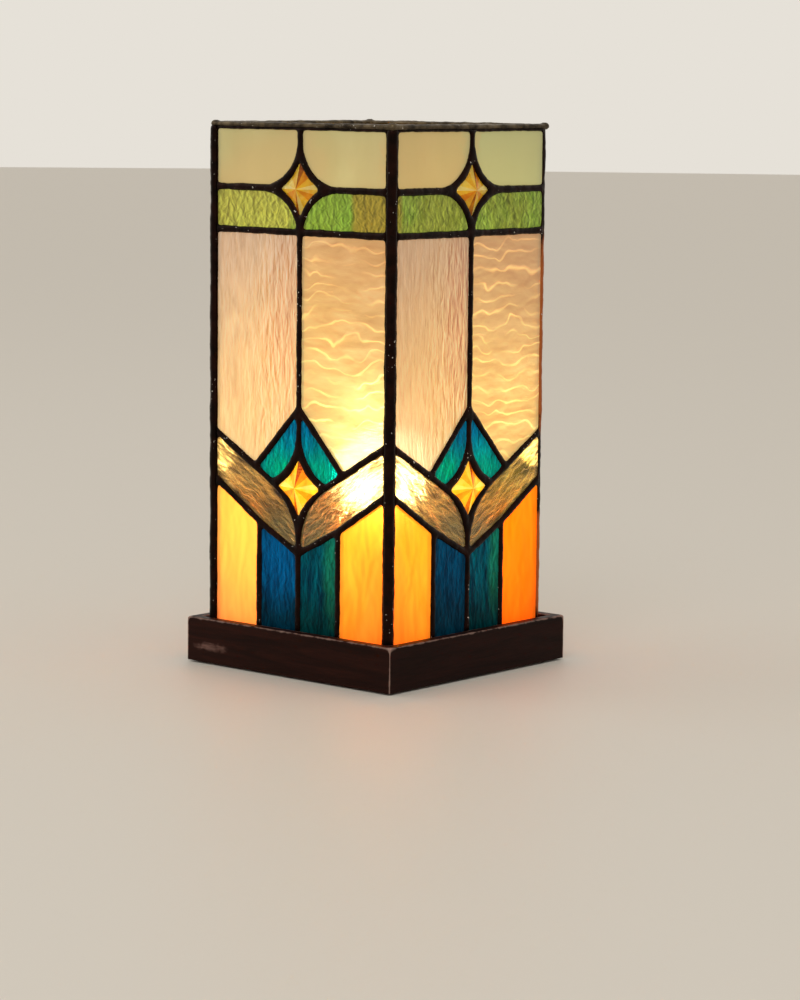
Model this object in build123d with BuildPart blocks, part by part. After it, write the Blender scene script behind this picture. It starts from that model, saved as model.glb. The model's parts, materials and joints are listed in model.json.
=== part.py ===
from build123d import *
import os
from math import atan2, cos, degrees, radians, sin, sqrt, tan

# Accent lamp: a four-sided leaded-glass shade standing in a mitred wooden tray, with one small lamp inside.
# Millimetres, +Z up, origin on the table under the middle of the base. The front panel faces -Y.

os.makedirs("parts", exist_ok=True)

# Shade
shade_side = 122.5  # across the outer faces of the glass
panel_height = 261.0
glass_thickness = 2.8
outer_bead = 0.9  # solder standing proud of the glass outside
inner_bead = 0.55  # and inside
bead_ease = 0.55  # slope on the outer bead's edges
seam_width = 3.5
border_width = 1.4  # solder border round a panel
glass_lap = 0.9  # glass hidden under the solder
seat_gap = 0.05  # between a pane's edge and its groove
corner_round = 3.0
rim_height = 2.0
rim_round = 0.8
rim_drop_radius = 1.8  # solder drop on each corner of the rim
rim_drop_height = 0.9

# Panel pattern, measured down from the panel's top
cream_seam_drop = 30.8
green_seam_drop = 52.5
# and up from the panel's bottom
leaf_apex_height = 119.5
band_top_edge_height = 104.4
band_top_centre_height = 69.6
band_low_edge_height = 79.7
band_low_bend_height = 59.2
band_low_centre_height = 45.1
low_star_rise = 9.4  # over the point where the band's top seams would meet
# and out from its middle
leaf_reach = 30.0
stripe_reach = 27.0

# Star jewels
high_star_reach = 13.8  # visible, centre to tip
low_star_reach = 14.6
star_hollow = 1.8  # depth of each hollow side
star_crown = 3.4  # faceted crown above the glass
crown_gap = 0.2
side_flats = 4  # facets along each hollow side
jewel_lap = 0.45
band_curve_share = 0.78  # of the band's upright edge, taken by the curve under the lower star

# Base
shade_gap = 2.35  # round the shade, inside the tray
rail_thickness = 5.5
rail_outer_round = 1.2
rail_inner_round = 0.6
deck_drop = 6.0  # tray wall above the deck
deck_thickness = 5.0
wiring_space = 9.0  # under the deck
cover_thickness = 3.0
felt_thickness = 1.0
felt_inset = 5.0
felt_corner = 6.0
groove_depth = 2.0
board_gap = 0.2  # board edge to groove
block_leg = 15.0
cover_screw_inset = 5.0  # from the block's square corner, along both legs
cover_screw_diameter = 3.0
cover_screw_head = 5.8
cover_screw_length = 10.0
hole_gap = 0.1  # radius of a hole over its pin

# Cord inlet
cord_bore = 6.2
bushing_wall = 0.9
bushing_flange = 1.5  # flange over the body, all round
bushing_flange_thickness = 1.4
bushing_tail = 1.0  # body showing inside the rail

# Lampholder
nipple_diameter = 9.7
nipple_bore = 6.6
nipple_tail = 1.6  # below the lower nut
nipple_head = 4.0  # above the bracket's foot
washer_diameter = 22.0
washer_thickness = 1.2
nut_across_flats = 14.0
nut_thickness = 3.2
strap_width = 11.0
strap_thickness = 1.4
strap_foot_thickness = 2.0
strap_rise = 8.6  # foot to the underside of the holder
strap_overlap = 13.0  # leg against the holder's flat
holder_diameter = 25.0
holder_flat = 11.4  # flat from the middle
holder_length = 29.0
holder_floor = 9.0
holder_edge = 1.0
shell_inner_radius = 6.35
shell_wall = 0.5
shell_gap = 0.3  # shell to the holder's bore
shell_recess = 0.6  # shell below the holder's mouth
shell_lift = 1.5  # shell above the holder's floor
shell_eye_radius = 4.8
tongue_width = 4.4
tongue_thickness = 0.6
tongue_rise = 3.0  # spring contact's crown above the holder's floor
tongue_half_crown = 2.2
tongue_run = 2.2
tongue_foot = 1.4
strap_screw_diameter = 3.0
strap_screw_head = 5.6
strap_screw_head_height = 2.0
strap_screw_grip = 3.6  # into the holder
strap_screw_height = 7.0  # above the holder's underside

# Lamp
cap_radius = 5.95
cap_wall = 0.4
cap_length = 14.5
cap_collar_radius = 7.2
cap_collar_height = 1.2
foot_radius = 2.4
foot_height = 1.6
foot_gap = 0.35
insulator_height = 3.2
insulator_mouth = 0.7  # foot standing out of the insulator
globe_radius = 22.5
globe_wall = 0.8
neck_radius = 7.0
neck_bend = 20.0
lamp_length = 76.0
globe_bands = 10  # straight bands that make up the globe's curve
neck_bands = 3
mount_radius = 2.6
mount_flare = 5.0
mount_top = 33.0  # above the cap's lower end
lead_diameter = 0.7
lead_spread = 9.0
lead_inset = 1.4
lead_top = 48.0  # above the cap's lower end
filament_diameter = 1.1

# Shade tabs
tab_width = 9.0
tab_height = 9.0
tab_foot = 10.0
tab_thickness = 0.8
tab_screw_diameter = 2.9
tab_screw_head = 5.4
tab_screw_head_height = 1.9
tab_screw_grip = 3.6
screw_head_ease = 0.7  # slope on the pan heads

# Places that follow from the sizes above
outer_face = shade_side / 2
inner_face = outer_face - glass_thickness
shade_inside = inner_face - inner_bead
shade_outside = outer_face + outer_bead
panel_half = shade_inside
tray_inside = shade_outside + shade_gap
base_half = tray_inside + rail_thickness
cover_top = felt_thickness + cover_thickness
deck_bottom = cover_top + wiring_space
deck_top = deck_bottom + deck_thickness
base_height = deck_top + deck_drop
panel_bottom = deck_top
panel_top = panel_bottom + panel_height
board_half = tray_inside + groove_depth - board_gap

# Pattern points in the panel: x across from the middle, y up from the table
seam_half = seam_width / 2
edge_reach = panel_half - border_width + seam_half
top_edge = panel_top - border_width + seam_half
bottom_edge = panel_bottom + border_width - seam_half
cream_seam = panel_top - cream_seam_drop
green_seam = panel_top - green_seam_drop
leaf_apex = panel_bottom + leaf_apex_height
band_top_edge = panel_bottom + band_top_edge_height
band_top_centre = panel_bottom + band_top_centre_height
band_low_edge = panel_bottom + band_low_edge_height
band_low_bend = panel_bottom + band_low_bend_height
band_low_centre = panel_bottom + band_low_centre_height
low_star = band_top_centre + low_star_rise
leaf_foot = band_top_centre + (band_top_edge - band_top_centre) * leaf_reach / edge_reach
band_slope = atan2(band_top_edge - band_top_centre, edge_reach)
band_curve = band_curve_share * (band_top_centre - band_low_centre) * tan((radians(90) + band_slope) / 2)

stars = [(cream_seam, high_star_reach), (low_star, low_star_reach)]

cream_cell = [(0, cream_seam), (edge_reach, cream_seam), (edge_reach, top_edge), (0, top_edge)]
green_cell = [(0, cream_seam), (edge_reach, cream_seam), (edge_reach, green_seam), (0, green_seam)]
tall_cell = [
    (0, green_seam),
    (0, leaf_apex),
    (leaf_reach, leaf_foot),
    (edge_reach, band_top_edge),
    (edge_reach, green_seam),
]
leaf_cell = [(0, leaf_apex), (leaf_reach, leaf_foot), (0, band_top_centre)]
band_cell = [
    (0, band_top_centre),
    (edge_reach, band_top_edge),
    (edge_reach, band_low_edge),
    (stripe_reach, band_low_bend),
    (0, band_low_centre),
]
orange_cell = [
    (stripe_reach, band_low_bend),
    (edge_reach, band_low_edge),
    (edge_reach, bottom_edge),
    (stripe_reach, bottom_edge),
]
blue_cell = [
    (0, band_low_centre),
    (stripe_reach, band_low_bend),
    (stripe_reach, bottom_edge),
    (0, bottom_edge),
]


def pane(corners, inset, corner_radius=0.0):
    """Right-hand pane of a pair, drawn inside its seam lines; its first corner may be rounded."""
    with BuildSketch() as outline:
        with BuildLine():
            Polyline(*corners, close=True)
        make_face()
        offset(amount=-inset, kind=Kind.INTERSECTION)
        if corner_radius > 0:
            tip = Vector(corners[0][0], corners[0][1], 0)
            nearest = outline.vertices().sort_by(lambda v: (Vector(*v) - tip).length)[0]
            fillet(nearest, radius=corner_radius + seam_half - inset)
    return outline.sketch


def hollow_side(reach):
    """The circle that a star's hollow side follows: its centre along both axes, and its radius."""
    radius = (reach**2 / 2 + star_hollow**2) / (2 * star_hollow)
    return (reach / sqrt(2) - star_hollow + radius) / sqrt(2), radius


def pane_by_star(corners, inset, height, reach, side):
    """Right-hand pane above (side 1) or below (-1) a star, its corner cut back along the star's hollow side."""
    centre, _ = hollow_side(reach)
    with BuildSketch() as outline:
        add(pane(corners, inset))
        with BuildSketch(mode=Mode.SUBTRACT):
            with Locations((centre, height + side * centre)):
                Rectangle(2 * centre, 2 * centre, align=(Align.MAX, Align.MAX if side > 0 else Align.MIN))
                Circle(centre - inset, mode=Mode.SUBTRACT)
    return outline.sketch


def star(height, reach, lap):
    """Four-pointed star with hollow sides, centred at a height on the panel's middle line."""
    centre, radius = hollow_side(reach)
    radius -= lap
    tip = centre - sqrt(radius**2 - centre**2)
    near = centre - radius / sqrt(2)
    points = [(tip, 0), (near, near), (0, tip), (-near, near), (-tip, 0), (-near, -near), (0, -tip), (near, -near)]
    points = [(x, y + height) for x, y in points]
    with BuildSketch() as outline:
        with BuildLine():
            for start in (0, 2, 4, 6):
                ThreePointArc(points[start], points[start + 1], points[(start + 2) % 8])
        make_face()
    return outline.sketch


def mirrored(sketch):
    return mirror(sketch, about=Plane.YZ)


def outlines(inset, star_lap):
    """All sixteen glass outlines of one panel, by kind."""
    right = {
        "cream": pane_by_star(cream_cell, inset, cream_seam, high_star_reach, 1),
        "green": pane_by_star(green_cell, inset, cream_seam, high_star_reach, -1),
        "tall": pane(tall_cell, inset),
        "leaf": pane_by_star(leaf_cell, inset, low_star, low_star_reach, 1),
        "band": pane(band_cell, inset, band_curve),
        "orange": pane(orange_cell, inset),
        "blue": pane(blue_cell, inset),
    }
    pairs = {kind: [mirrored(shape), shape] for kind, shape in right.items()}
    pairs["star"] = [star(height, reach, star_lap) for height, reach in stars]
    return pairs


windows = outlines(seam_half, 0.0)
eased = outlines(seam_half - bead_ease, bead_ease)
grooves = outlines(seam_half - glass_lap - seat_gap, jewel_lap + seat_gap)
glass = outlines(seam_half - glass_lap, jewel_lap)

sides = ["front", "right", "back", "left"]


def grille(openings):
    """A panel-sized sheet with the given openings cut out of it."""
    with BuildSketch() as sheet:
        with Locations((0, panel_bottom)):
            Rectangle(2 * panel_half, panel_height, align=(Align.CENTER, Align.MIN))
        for pair in openings.values():
            add(pair, mode=Mode.SUBTRACT)
    return sheet.sketch


def turned(shape, quarter):
    """The front panel's shape, moved round to another side of the shade."""
    return shape.rotate(Axis.Z, 90 * quarter)


def export_sides(shapes, kind):
    """Writes one node per side of the shade, each with all the given solids."""
    for quarter, side in enumerate(sides):
        name = side + "_" + kind
        solids = [turned(shape, quarter) for shape in shapes]
        node = solids[0] if len(solids) == 1 else Compound(children=solids)
        node.label = name
        export_step(node, "parts/" + name + ".step")


def export_group(solids, name):
    """Writes one node that holds several separate solids."""
    node = Compound(label=name, children=solids)
    export_step(node, "parts/" + name + ".step")


# Soldered lattice of one panel: a web between the panes, and a bead over it on either face


def bead_opening(low_outline, high_outline):
    """Opening in the outer bead, widening outwards so that the bead's edges slope."""
    with BuildPart() as opening:
        with BuildSketch(Plane.XZ.offset(outer_face)):
            add(low_outline)
        with BuildSketch(Plane.XZ.offset(shade_outside)):
            add(high_outline)
        loft(ruled=True)
    return opening.part


bead_openings = []
for kind, pair in windows.items():
    for low_outline, high_outline in zip(pair, eased[kind]):
        bead_openings.append(bead_opening(low_outline, high_outline))

with BuildPart() as lattice:
    with BuildSketch(Plane.XZ.offset(inner_face)):
        add(grille(grooves))
    extrude(amount=glass_thickness)
    with BuildSketch(Plane.XZ.offset(inner_face)):
        add(grille(windows))
    extrude(amount=-inner_bead)
    with BuildSketch(Plane.XZ.offset(outer_face)):
        with Locations((0, panel_bottom)):
            Rectangle(2 * panel_half, panel_height, align=(Align.CENTER, Align.MIN))
    extrude(amount=outer_bead)
    add(bead_openings, mode=Mode.SUBTRACT)
export_sides([lattice.part], "lattice")


def flat_pane(outline):
    with BuildPart() as sheet:
        with BuildSketch(Plane.XZ.offset(inner_face)):
            add(outline)
        extrude(amount=glass_thickness)
    return sheet.part


def star_flats(height, reach):
    """The star drawn inside its window with straight cuts, as the crown's facets are pressed."""
    centre, radius = hollow_side(reach)
    radius += crown_gap
    tip = centre - sqrt(radius**2 - centre**2)
    spread = degrees(atan2(centre, centre - tip)) - 45
    corners = []
    for step in range(side_flats):
        turn = radians(225 + spread * (1 - 2 * step / side_flats))
        corners.append((centre + radius * cos(turn), centre + radius * sin(turn)))
    for quarter in range(3):
        corners += [(-y, x) for x, y in corners[-side_flats:]]
    with BuildSketch() as outline:
        with BuildLine():
            Polyline(*[(x, y + height) for x, y in corners], close=True)
        make_face()
    return outline.sketch


def jewel(body_outline, height, reach):
    """Pressed star: a flat back in the lattice and a crown of facets that meet in a peak."""
    with BuildPart() as stone:
        with BuildSketch(Plane.XZ.offset(inner_face)):
            add(body_outline)
        extrude(amount=glass_thickness)
        with BuildSketch(Plane.XZ.offset(outer_face)) as girdle:
            add(star_flats(height, reach))
        peak = Vertex(0, -outer_face - star_crown, height)
        loft([girdle.sketch.faces()[0], peak], ruled=True)
    return stone.part


export_sides([flat_pane(outline) for outline in glass["cream"]], "cream_panes")
export_sides([flat_pane(outline) for outline in glass["green"]], "green_panes")
export_sides([flat_pane(outline) for outline in glass["tall"]], "tall_panes")
export_sides([flat_pane(outline) for outline in glass["leaf"] + glass["blue"]], "blue_panes")
export_sides([flat_pane(outline) for outline in glass["band"]], "band_panes")
export_sides([flat_pane(outline) for outline in glass["orange"]], "orange_panes")

jewels = [jewel(outline, height, reach) for outline, (height, reach) in zip(glass["star"], stars)]
export_sides(jewels, "star_jewels")

# Corner seam between two panels, and the strip along the open top

with BuildPart() as corner_seam:
    seam_side = shade_outside - panel_half
    with BuildSketch(Plane.XY.offset(panel_bottom)):
        with Locations((panel_half, -panel_half)):
            Rectangle(seam_side, seam_side, align=(Align.MIN, Align.MAX))
    extrude(amount=panel_height)
    outer_edge = corner_seam.edges().filter_by(Axis.Z).sort_by(lambda e: e.center().X - e.center().Y)[-1]
    fillet(outer_edge, radius=corner_round)
export_group([turned(corner_seam.part, quarter) for quarter in range(4)], "corner_seams")


def mitred(bar, half):
    """Cuts both ends of a bar along the front to the corner diagonals."""
    with BuildPart() as cut_bar:
        add(bar)
        split(bisect_by=Plane(origin=(half, -half, 0), z_dir=(-1, -1, 0)), keep=Keep.TOP)
        split(bisect_by=Plane(origin=(-half, -half, 0), z_dir=(1, -1, 0)), keep=Keep.TOP)
    return cut_bar.part


with BuildPart() as rim_bar:
    with BuildSketch(Plane.YZ):
        with Locations((-shade_outside, panel_top)):
            Rectangle(shade_outside - shade_inside, rim_height, align=(Align.MIN, Align.MIN))
    extrude(amount=shade_outside, both=True)
    fillet(rim_bar.faces().sort_by(Axis.Z)[-1].edges().filter_by(Axis.X), radius=rim_round)
    drop_reach = (shade_outside + shade_inside) / 2
    drop_foot = panel_top + rim_height - rim_round
    with Locations((-drop_reach, -drop_reach, drop_foot), (drop_reach, -drop_reach, drop_foot)):
        Cylinder(rim_drop_radius, rim_round + rim_drop_height, align=(Align.CENTER, Align.CENTER, Align.MIN))
    fillet(rim_bar.faces().sort_by(Axis.Z)[-2:].edges(), radius=rim_round)
rim_strip = mitred(rim_bar.part, shade_outside)
export_group([turned(rim_strip, quarter) for quarter in range(4)], "rim_strips")

# Tray rails: a groove for the deck, a rabbet for the cover, eased top edges

with BuildPart() as rail_bar:
    with BuildSketch(Plane.YZ):
        with Locations((-base_half, felt_thickness)):
            Rectangle(rail_thickness, base_height - felt_thickness, align=(Align.MIN, Align.MIN))
        with Locations((-tray_inside, deck_bottom)):
            Rectangle(groove_depth, deck_thickness, align=(Align.MAX, Align.MIN), mode=Mode.SUBTRACT)
        with Locations((-tray_inside, felt_thickness)):
            Rectangle(groove_depth, cover_thickness, align=(Align.MAX, Align.MIN), mode=Mode.SUBTRACT)
    extrude(amount=base_half, both=True)
    top_edges = rail_bar.faces().sort_by(Axis.Z)[-1].edges().filter_by(Axis.X).sort_by(Axis.Y)
    fillet(top_edges[0], radius=rail_outer_round)
    top_edges = rail_bar.faces().sort_by(Axis.Z)[-1].edges().filter_by(Axis.X).sort_by(Axis.Y)
    fillet(top_edges[-1], radius=rail_inner_round)
rail = mitred(rail_bar.part, base_half)

bushing_radius = cord_bore / 2 + bushing_wall
cord_height = cover_top + wiring_space / 2
cord_plane = Plane(origin=(0, base_half, cord_height), x_dir=(1, 0, 0), z_dir=(0, 1, 0))

with BuildPart() as bored_rail:
    add(turned(rail, 2))
    with BuildSketch(cord_plane):
        Circle(bushing_radius + hole_gap)
    extrude(amount=-rail_thickness, mode=Mode.SUBTRACT)
export_group([rail, turned(rail, 1), bored_rail.part, turned(rail, 3)], "base_rails")

with BuildPart() as cord_bushing:
    with BuildSketch(cord_plane):
        Circle(bushing_radius)
        Circle(cord_bore / 2, mode=Mode.SUBTRACT)
    extrude(amount=-rail_thickness - bushing_tail)
    with BuildSketch(cord_plane):
        Circle(bushing_radius + bushing_flange)
        Circle(cord_bore / 2, mode=Mode.SUBTRACT)
    extrude(amount=bushing_flange_thickness)
    mouth = cord_bushing.faces().sort_by(Axis.Y)[-1]
    chamfer(mouth.edges(), length=bushing_wall / 2)
cord_bushing.part.label = "cord_bushing"
export_step(cord_bushing.part, "parts/cord_bushing.step")

# Deck, blocks, cover and felt

tab_screw_reach = shade_inside - tab_foot / 2
nipple_hole = nipple_diameter / 2 + hole_gap

with BuildPart() as deck_board:
    with BuildSketch(Plane.XY.offset(deck_bottom)):
        Rectangle(2 * board_half, 2 * board_half)
        Circle(nipple_hole, mode=Mode.SUBTRACT)
        with PolarLocations(tab_screw_reach, 4):
            Circle(tab_screw_diameter / 2 + hole_gap, mode=Mode.SUBTRACT)
    extrude(amount=deck_thickness)
deck_board.part.label = "deck_board"
export_step(deck_board.part, "parts/deck_board.step")

screw_reach = tray_inside - cover_screw_inset

with BuildPart() as corner_block:
    with BuildSketch(Plane.XY.offset(cover_top)):
        with BuildLine():
            Polyline(
                (tray_inside, -tray_inside),
                (tray_inside, block_leg - tray_inside),
                (tray_inside - block_leg, -tray_inside),
                close=True,
            )
        make_face()
        with Locations((screw_reach, -screw_reach)):
            Circle(cover_screw_diameter / 2 + hole_gap, mode=Mode.SUBTRACT)
    extrude(amount=wiring_space)
export_group([turned(corner_block.part, quarter) for quarter in range(4)], "corner_blocks")

screw_places = [(x, y) for x in (-screw_reach, screw_reach) for y in (-screw_reach, screw_reach)]

with BuildPart() as bottom_cover:
    with BuildSketch(Plane.XY.offset(felt_thickness)):
        Rectangle(2 * board_half, 2 * board_half)
    extrude(amount=cover_thickness)
    with Locations(*[Pos(x, y, felt_thickness) * Rot(X=180) for x, y in screw_places]):
        CounterSinkHole(cover_screw_diameter / 2 + hole_gap, cover_screw_head / 2 + hole_gap)
bottom_cover.part.label = "bottom_cover"
export_step(bottom_cover.part, "parts/bottom_cover.step")

head_slope = (cover_screw_head - cover_screw_diameter) / 2

with BuildPart() as cover_screw:
    with BuildSketch(Plane.XZ):
        with BuildLine():
            Polyline(
                (0, 0),
                (cover_screw_head / 2, 0),
                (cover_screw_diameter / 2, head_slope),
                (cover_screw_diameter / 2, cover_screw_length - cover_screw_diameter),
                (0, cover_screw_length),
                close=True,
            )
        make_face()
    revolve(axis=Axis.Z)

with BuildPart() as cover_screws:
    with Locations(*[(x, y, felt_thickness) for x, y in screw_places]):
        add(cover_screw.part)
cover_screws.part.label = "cover_screws"
export_step(cover_screws.part, "parts/cover_screws.step")

with BuildPart() as felt_pad:
    with BuildSketch():
        RectangleRounded(2 * (base_half - felt_inset), 2 * (base_half - felt_inset), felt_corner)
    extrude(amount=felt_thickness)
felt_pad.part.label = "felt_pad"
export_step(felt_pad.part, "parts/felt_pad.step")

# Tabs that hold the shade down on the deck

with BuildPart() as shade_tab:
    with BuildSketch(Plane.YZ):
        with BuildLine():
            Polyline(
                (-shade_inside, deck_top),
                (-shade_inside + tab_foot, deck_top),
                (-shade_inside + tab_foot, deck_top + tab_thickness),
                (-shade_inside + tab_thickness, deck_top + tab_thickness),
                (-shade_inside + tab_thickness, deck_top + tab_height),
                (-shade_inside, deck_top + tab_height),
                close=True,
            )
        make_face()
    extrude(amount=tab_width / 2, both=True)
    with BuildSketch(Plane.XY.offset(deck_top)):
        with Locations((0, -tab_screw_reach)):
            Circle(tab_screw_diameter / 2 + hole_gap)
    extrude(amount=tab_thickness, mode=Mode.SUBTRACT)
export_group([turned(shade_tab.part, quarter) for quarter in range(4)], "shade_tabs")

tab_screw_seat = deck_top + tab_thickness

with BuildPart() as tab_screw:
    with BuildSketch(Plane.XY.offset(tab_screw_seat)):
        with Locations((0, -tab_screw_reach)):
            Circle(tab_screw_head / 2)
    extrude(amount=tab_screw_head_height)
    chamfer(tab_screw.faces().sort_by(Axis.Z)[-1].edges(), length=screw_head_ease)
    with BuildSketch(Plane.XY.offset(tab_screw_seat)):
        with Locations((0, -tab_screw_reach)):
            Circle(tab_screw_diameter / 2)
    extrude(amount=-tab_thickness - tab_screw_grip)
export_group([turned(tab_screw.part, quarter) for quarter in range(4)], "tab_screws")

# Lampholder: nipple through the deck, washers and nuts, strap bracket, moulded body

lower_nut = deck_bottom - washer_thickness - nut_thickness
upper_nut = deck_top + washer_thickness
strap_foot = upper_nut + nut_thickness
holder_bottom = strap_foot + strap_foot_thickness + strap_rise
holder_top = holder_bottom + holder_length
holder_bore_floor = holder_bottom + holder_floor

with BuildPart() as nipple:
    with BuildSketch(Plane.XY.offset(lower_nut - nipple_tail)):
        Circle(nipple_diameter / 2)
        Circle(nipple_bore / 2, mode=Mode.SUBTRACT)
    extrude(amount=strap_foot + strap_foot_thickness + nipple_head - lower_nut + nipple_tail)
nipple.part.label = "nipple"
export_step(nipple.part, "parts/nipple.step")


def washer(bottom):
    with BuildPart() as ring:
        with BuildSketch(Plane.XY.offset(bottom)):
            Circle(washer_diameter / 2)
            Circle(nipple_hole, mode=Mode.SUBTRACT)
        extrude(amount=washer_thickness)
    return ring.part


def locknut(bottom):
    with BuildPart() as nut:
        with BuildSketch(Plane.XY.offset(bottom)):
            RegularPolygon(nut_across_flats / 2, 6, major_radius=False)
            Circle(nipple_hole, mode=Mode.SUBTRACT)
        extrude(amount=nut_thickness)
    return nut.part


export_group([washer(deck_bottom - washer_thickness), washer(deck_top)], "washers")
export_group([locknut(lower_nut), locknut(upper_nut)], "locknuts")

strap_outside = holder_flat + strap_thickness
strap_top = holder_bottom + strap_overlap
strap_screw_level = holder_bottom + strap_screw_height

with BuildPart() as strap_bracket:
    with BuildSketch(Plane.XZ):
        with BuildLine():
            Polyline(
                (-strap_outside, strap_foot),
                (strap_outside, strap_foot),
                (strap_outside, strap_top),
                (holder_flat, strap_top),
                (holder_flat, strap_foot + strap_foot_thickness),
                (-holder_flat, strap_foot + strap_foot_thickness),
                (-holder_flat, strap_top),
                (-strap_outside, strap_top),
                close=True,
            )
        make_face()
    extrude(amount=strap_width / 2, both=True)
    feet = strap_bracket.edges().filter_by(Axis.Y).group_by(Axis.Z)[0]
    fillet(feet, radius=strap_thickness)
    with BuildSketch(Plane.XY.offset(strap_foot)):
        Circle(nipple_hole)
    extrude(amount=strap_foot_thickness, mode=Mode.SUBTRACT)
    with BuildSketch(Plane.YZ):
        with Locations((0, strap_screw_level)):
            Circle(strap_screw_diameter / 2 + hole_gap)
    extrude(amount=strap_outside, both=True, mode=Mode.SUBTRACT)
strap_bracket.part.label = "strap_bracket"
export_step(strap_bracket.part, "parts/strap_bracket.step")

holder_bore = shell_inner_radius + shell_wall + shell_gap

with BuildPart() as holder_body:
    with BuildSketch(Plane.XY.offset(holder_bottom)):
        Circle(holder_diameter / 2)
        Rectangle(2 * holder_flat, holder_diameter, mode=Mode.INTERSECT)
    extrude(amount=holder_length)
    chamfer(holder_body.faces().sort_by(Axis.Z)[-1].edges(), length=holder_edge)
    with BuildSketch(Plane.XY.offset(holder_bore_floor)):
        Circle(holder_bore)
    extrude(amount=holder_length - holder_floor, mode=Mode.SUBTRACT)
    with BuildSketch(Plane.YZ):
        with Locations((0, strap_screw_level)):
            Circle(strap_screw_diameter / 2 + hole_gap)
    extrude(amount=holder_flat, both=True, mode=Mode.SUBTRACT)
holder_body.part.label = "holder_body"
export_step(holder_body.part, "parts/holder_body.step")

with BuildPart() as strap_screw:
    with BuildSketch(Plane.YZ.offset(strap_outside)):
        with Locations((0, strap_screw_level)):
            Circle(strap_screw_head / 2)
    extrude(amount=strap_screw_head_height)
    chamfer(strap_screw.faces().sort_by(Axis.X)[-1].edges(), length=screw_head_ease)
    with BuildSketch(Plane.YZ.offset(strap_outside)):
        with Locations((0, strap_screw_level)):
            Circle(strap_screw_diameter / 2)
    extrude(amount=-strap_thickness - strap_screw_grip)
export_group([strap_screw.part, turned(strap_screw.part, 2)], "strap_screws")

shell_bottom = holder_bore_floor + shell_lift
shell_outer_radius = shell_inner_radius + shell_wall

with BuildPart() as screw_shell:
    with BuildSketch(Plane.XZ):
        with BuildLine():
            Polyline(
                (shell_eye_radius, shell_bottom),
                (shell_outer_radius, shell_bottom),
                (shell_outer_radius, holder_top - shell_recess),
                (shell_inner_radius, holder_top - shell_recess),
                (shell_inner_radius, shell_bottom + shell_wall),
                (shell_eye_radius, shell_bottom + shell_wall),
                close=True,
            )
        make_face()
    revolve(axis=Axis.Z)
screw_shell.part.label = "screw_shell"
export_step(screw_shell.part, "parts/screw_shell.step")

tongue_top = holder_bore_floor + tongue_rise
tongue_out = tongue_half_crown + tongue_run

with BuildPart() as centre_contact:
    with BuildSketch(Plane.XZ):
        with BuildLine():
            Polyline(
                (-tongue_out - tongue_foot, holder_bore_floor),
                (-tongue_out, holder_bore_floor),
                (-tongue_half_crown, tongue_top - tongue_thickness),
                (tongue_half_crown, tongue_top - tongue_thickness),
                (tongue_out, holder_bore_floor),
                (tongue_out + tongue_foot, holder_bore_floor),
                (tongue_out + tongue_foot, holder_bore_floor + tongue_thickness),
                (tongue_out + tongue_thickness / 2, holder_bore_floor + tongue_thickness),
                (tongue_half_crown + tongue_thickness / 2, tongue_top),
                (-tongue_half_crown - tongue_thickness / 2, tongue_top),
                (-tongue_out - tongue_thickness / 2, holder_bore_floor + tongue_thickness),
                (-tongue_out - tongue_foot, holder_bore_floor + tongue_thickness),
                close=True,
            )
        make_face()
    extrude(amount=tongue_width / 2, both=True)
centre_contact.part.label = "centre_contact"
export_step(centre_contact.part, "parts/centre_contact.step")

# Lamp: round foot contact, black insulator, brass cap, globe with its mount, leads and filament

foot_bottom = tongue_top
cap_bottom = foot_bottom + insulator_mouth + insulator_height
cap_top = cap_bottom + cap_length
globe_centre = foot_bottom + lamp_length - globe_radius

with BuildPart() as lamp_foot:
    with BuildSketch(Plane.XY.offset(foot_bottom)):
        Circle(foot_radius)
    extrude(amount=foot_height)
    chamfer(lamp_foot.faces().sort_by(Axis.Z)[0].edges(), length=insulator_mouth / 2)
lamp_foot.part.label = "lamp_foot"
export_step(lamp_foot.part, "parts/lamp_foot.step")

insulator_bottom = foot_bottom + insulator_mouth
insulator_hole = foot_radius + foot_gap

with BuildPart() as lamp_insulator:
    with BuildSketch(Plane.XZ):
        with BuildLine():
            Polyline(
                (insulator_hole, insulator_bottom),
                (insulator_hole + cap_wall, insulator_bottom),
                (cap_radius - cap_wall, cap_bottom),
                (insulator_hole, cap_bottom),
                close=True,
            )
        make_face()
    revolve(axis=Axis.Z)
lamp_insulator.part.label = "lamp_insulator"
export_step(lamp_insulator.part, "parts/lamp_insulator.step")

with BuildPart() as lamp_cap:
    with BuildSketch(Plane.XZ):
        with BuildLine():
            Polyline(
                (insulator_hole, cap_bottom),
                (cap_radius, cap_bottom),
                (cap_radius, cap_top - cap_collar_height),
                (cap_collar_radius, cap_top),
                (cap_collar_radius - cap_wall, cap_top),
                (cap_radius - cap_wall, cap_top - cap_collar_height),
                (cap_radius - cap_wall, cap_bottom + cap_wall),
                (insulator_hole, cap_bottom + cap_wall),
                close=True,
            )
        make_face()
    revolve(axis=Axis.Z)
lamp_cap.part.label = "lamp_cap"
export_step(lamp_cap.part, "parts/lamp_cap.step")

bend_x = neck_radius + neck_bend
bend_height = globe_centre - sqrt((globe_radius + neck_bend) ** 2 - bend_x**2)
join_angle = degrees(atan2(globe_centre - bend_height, bend_x))


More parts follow.
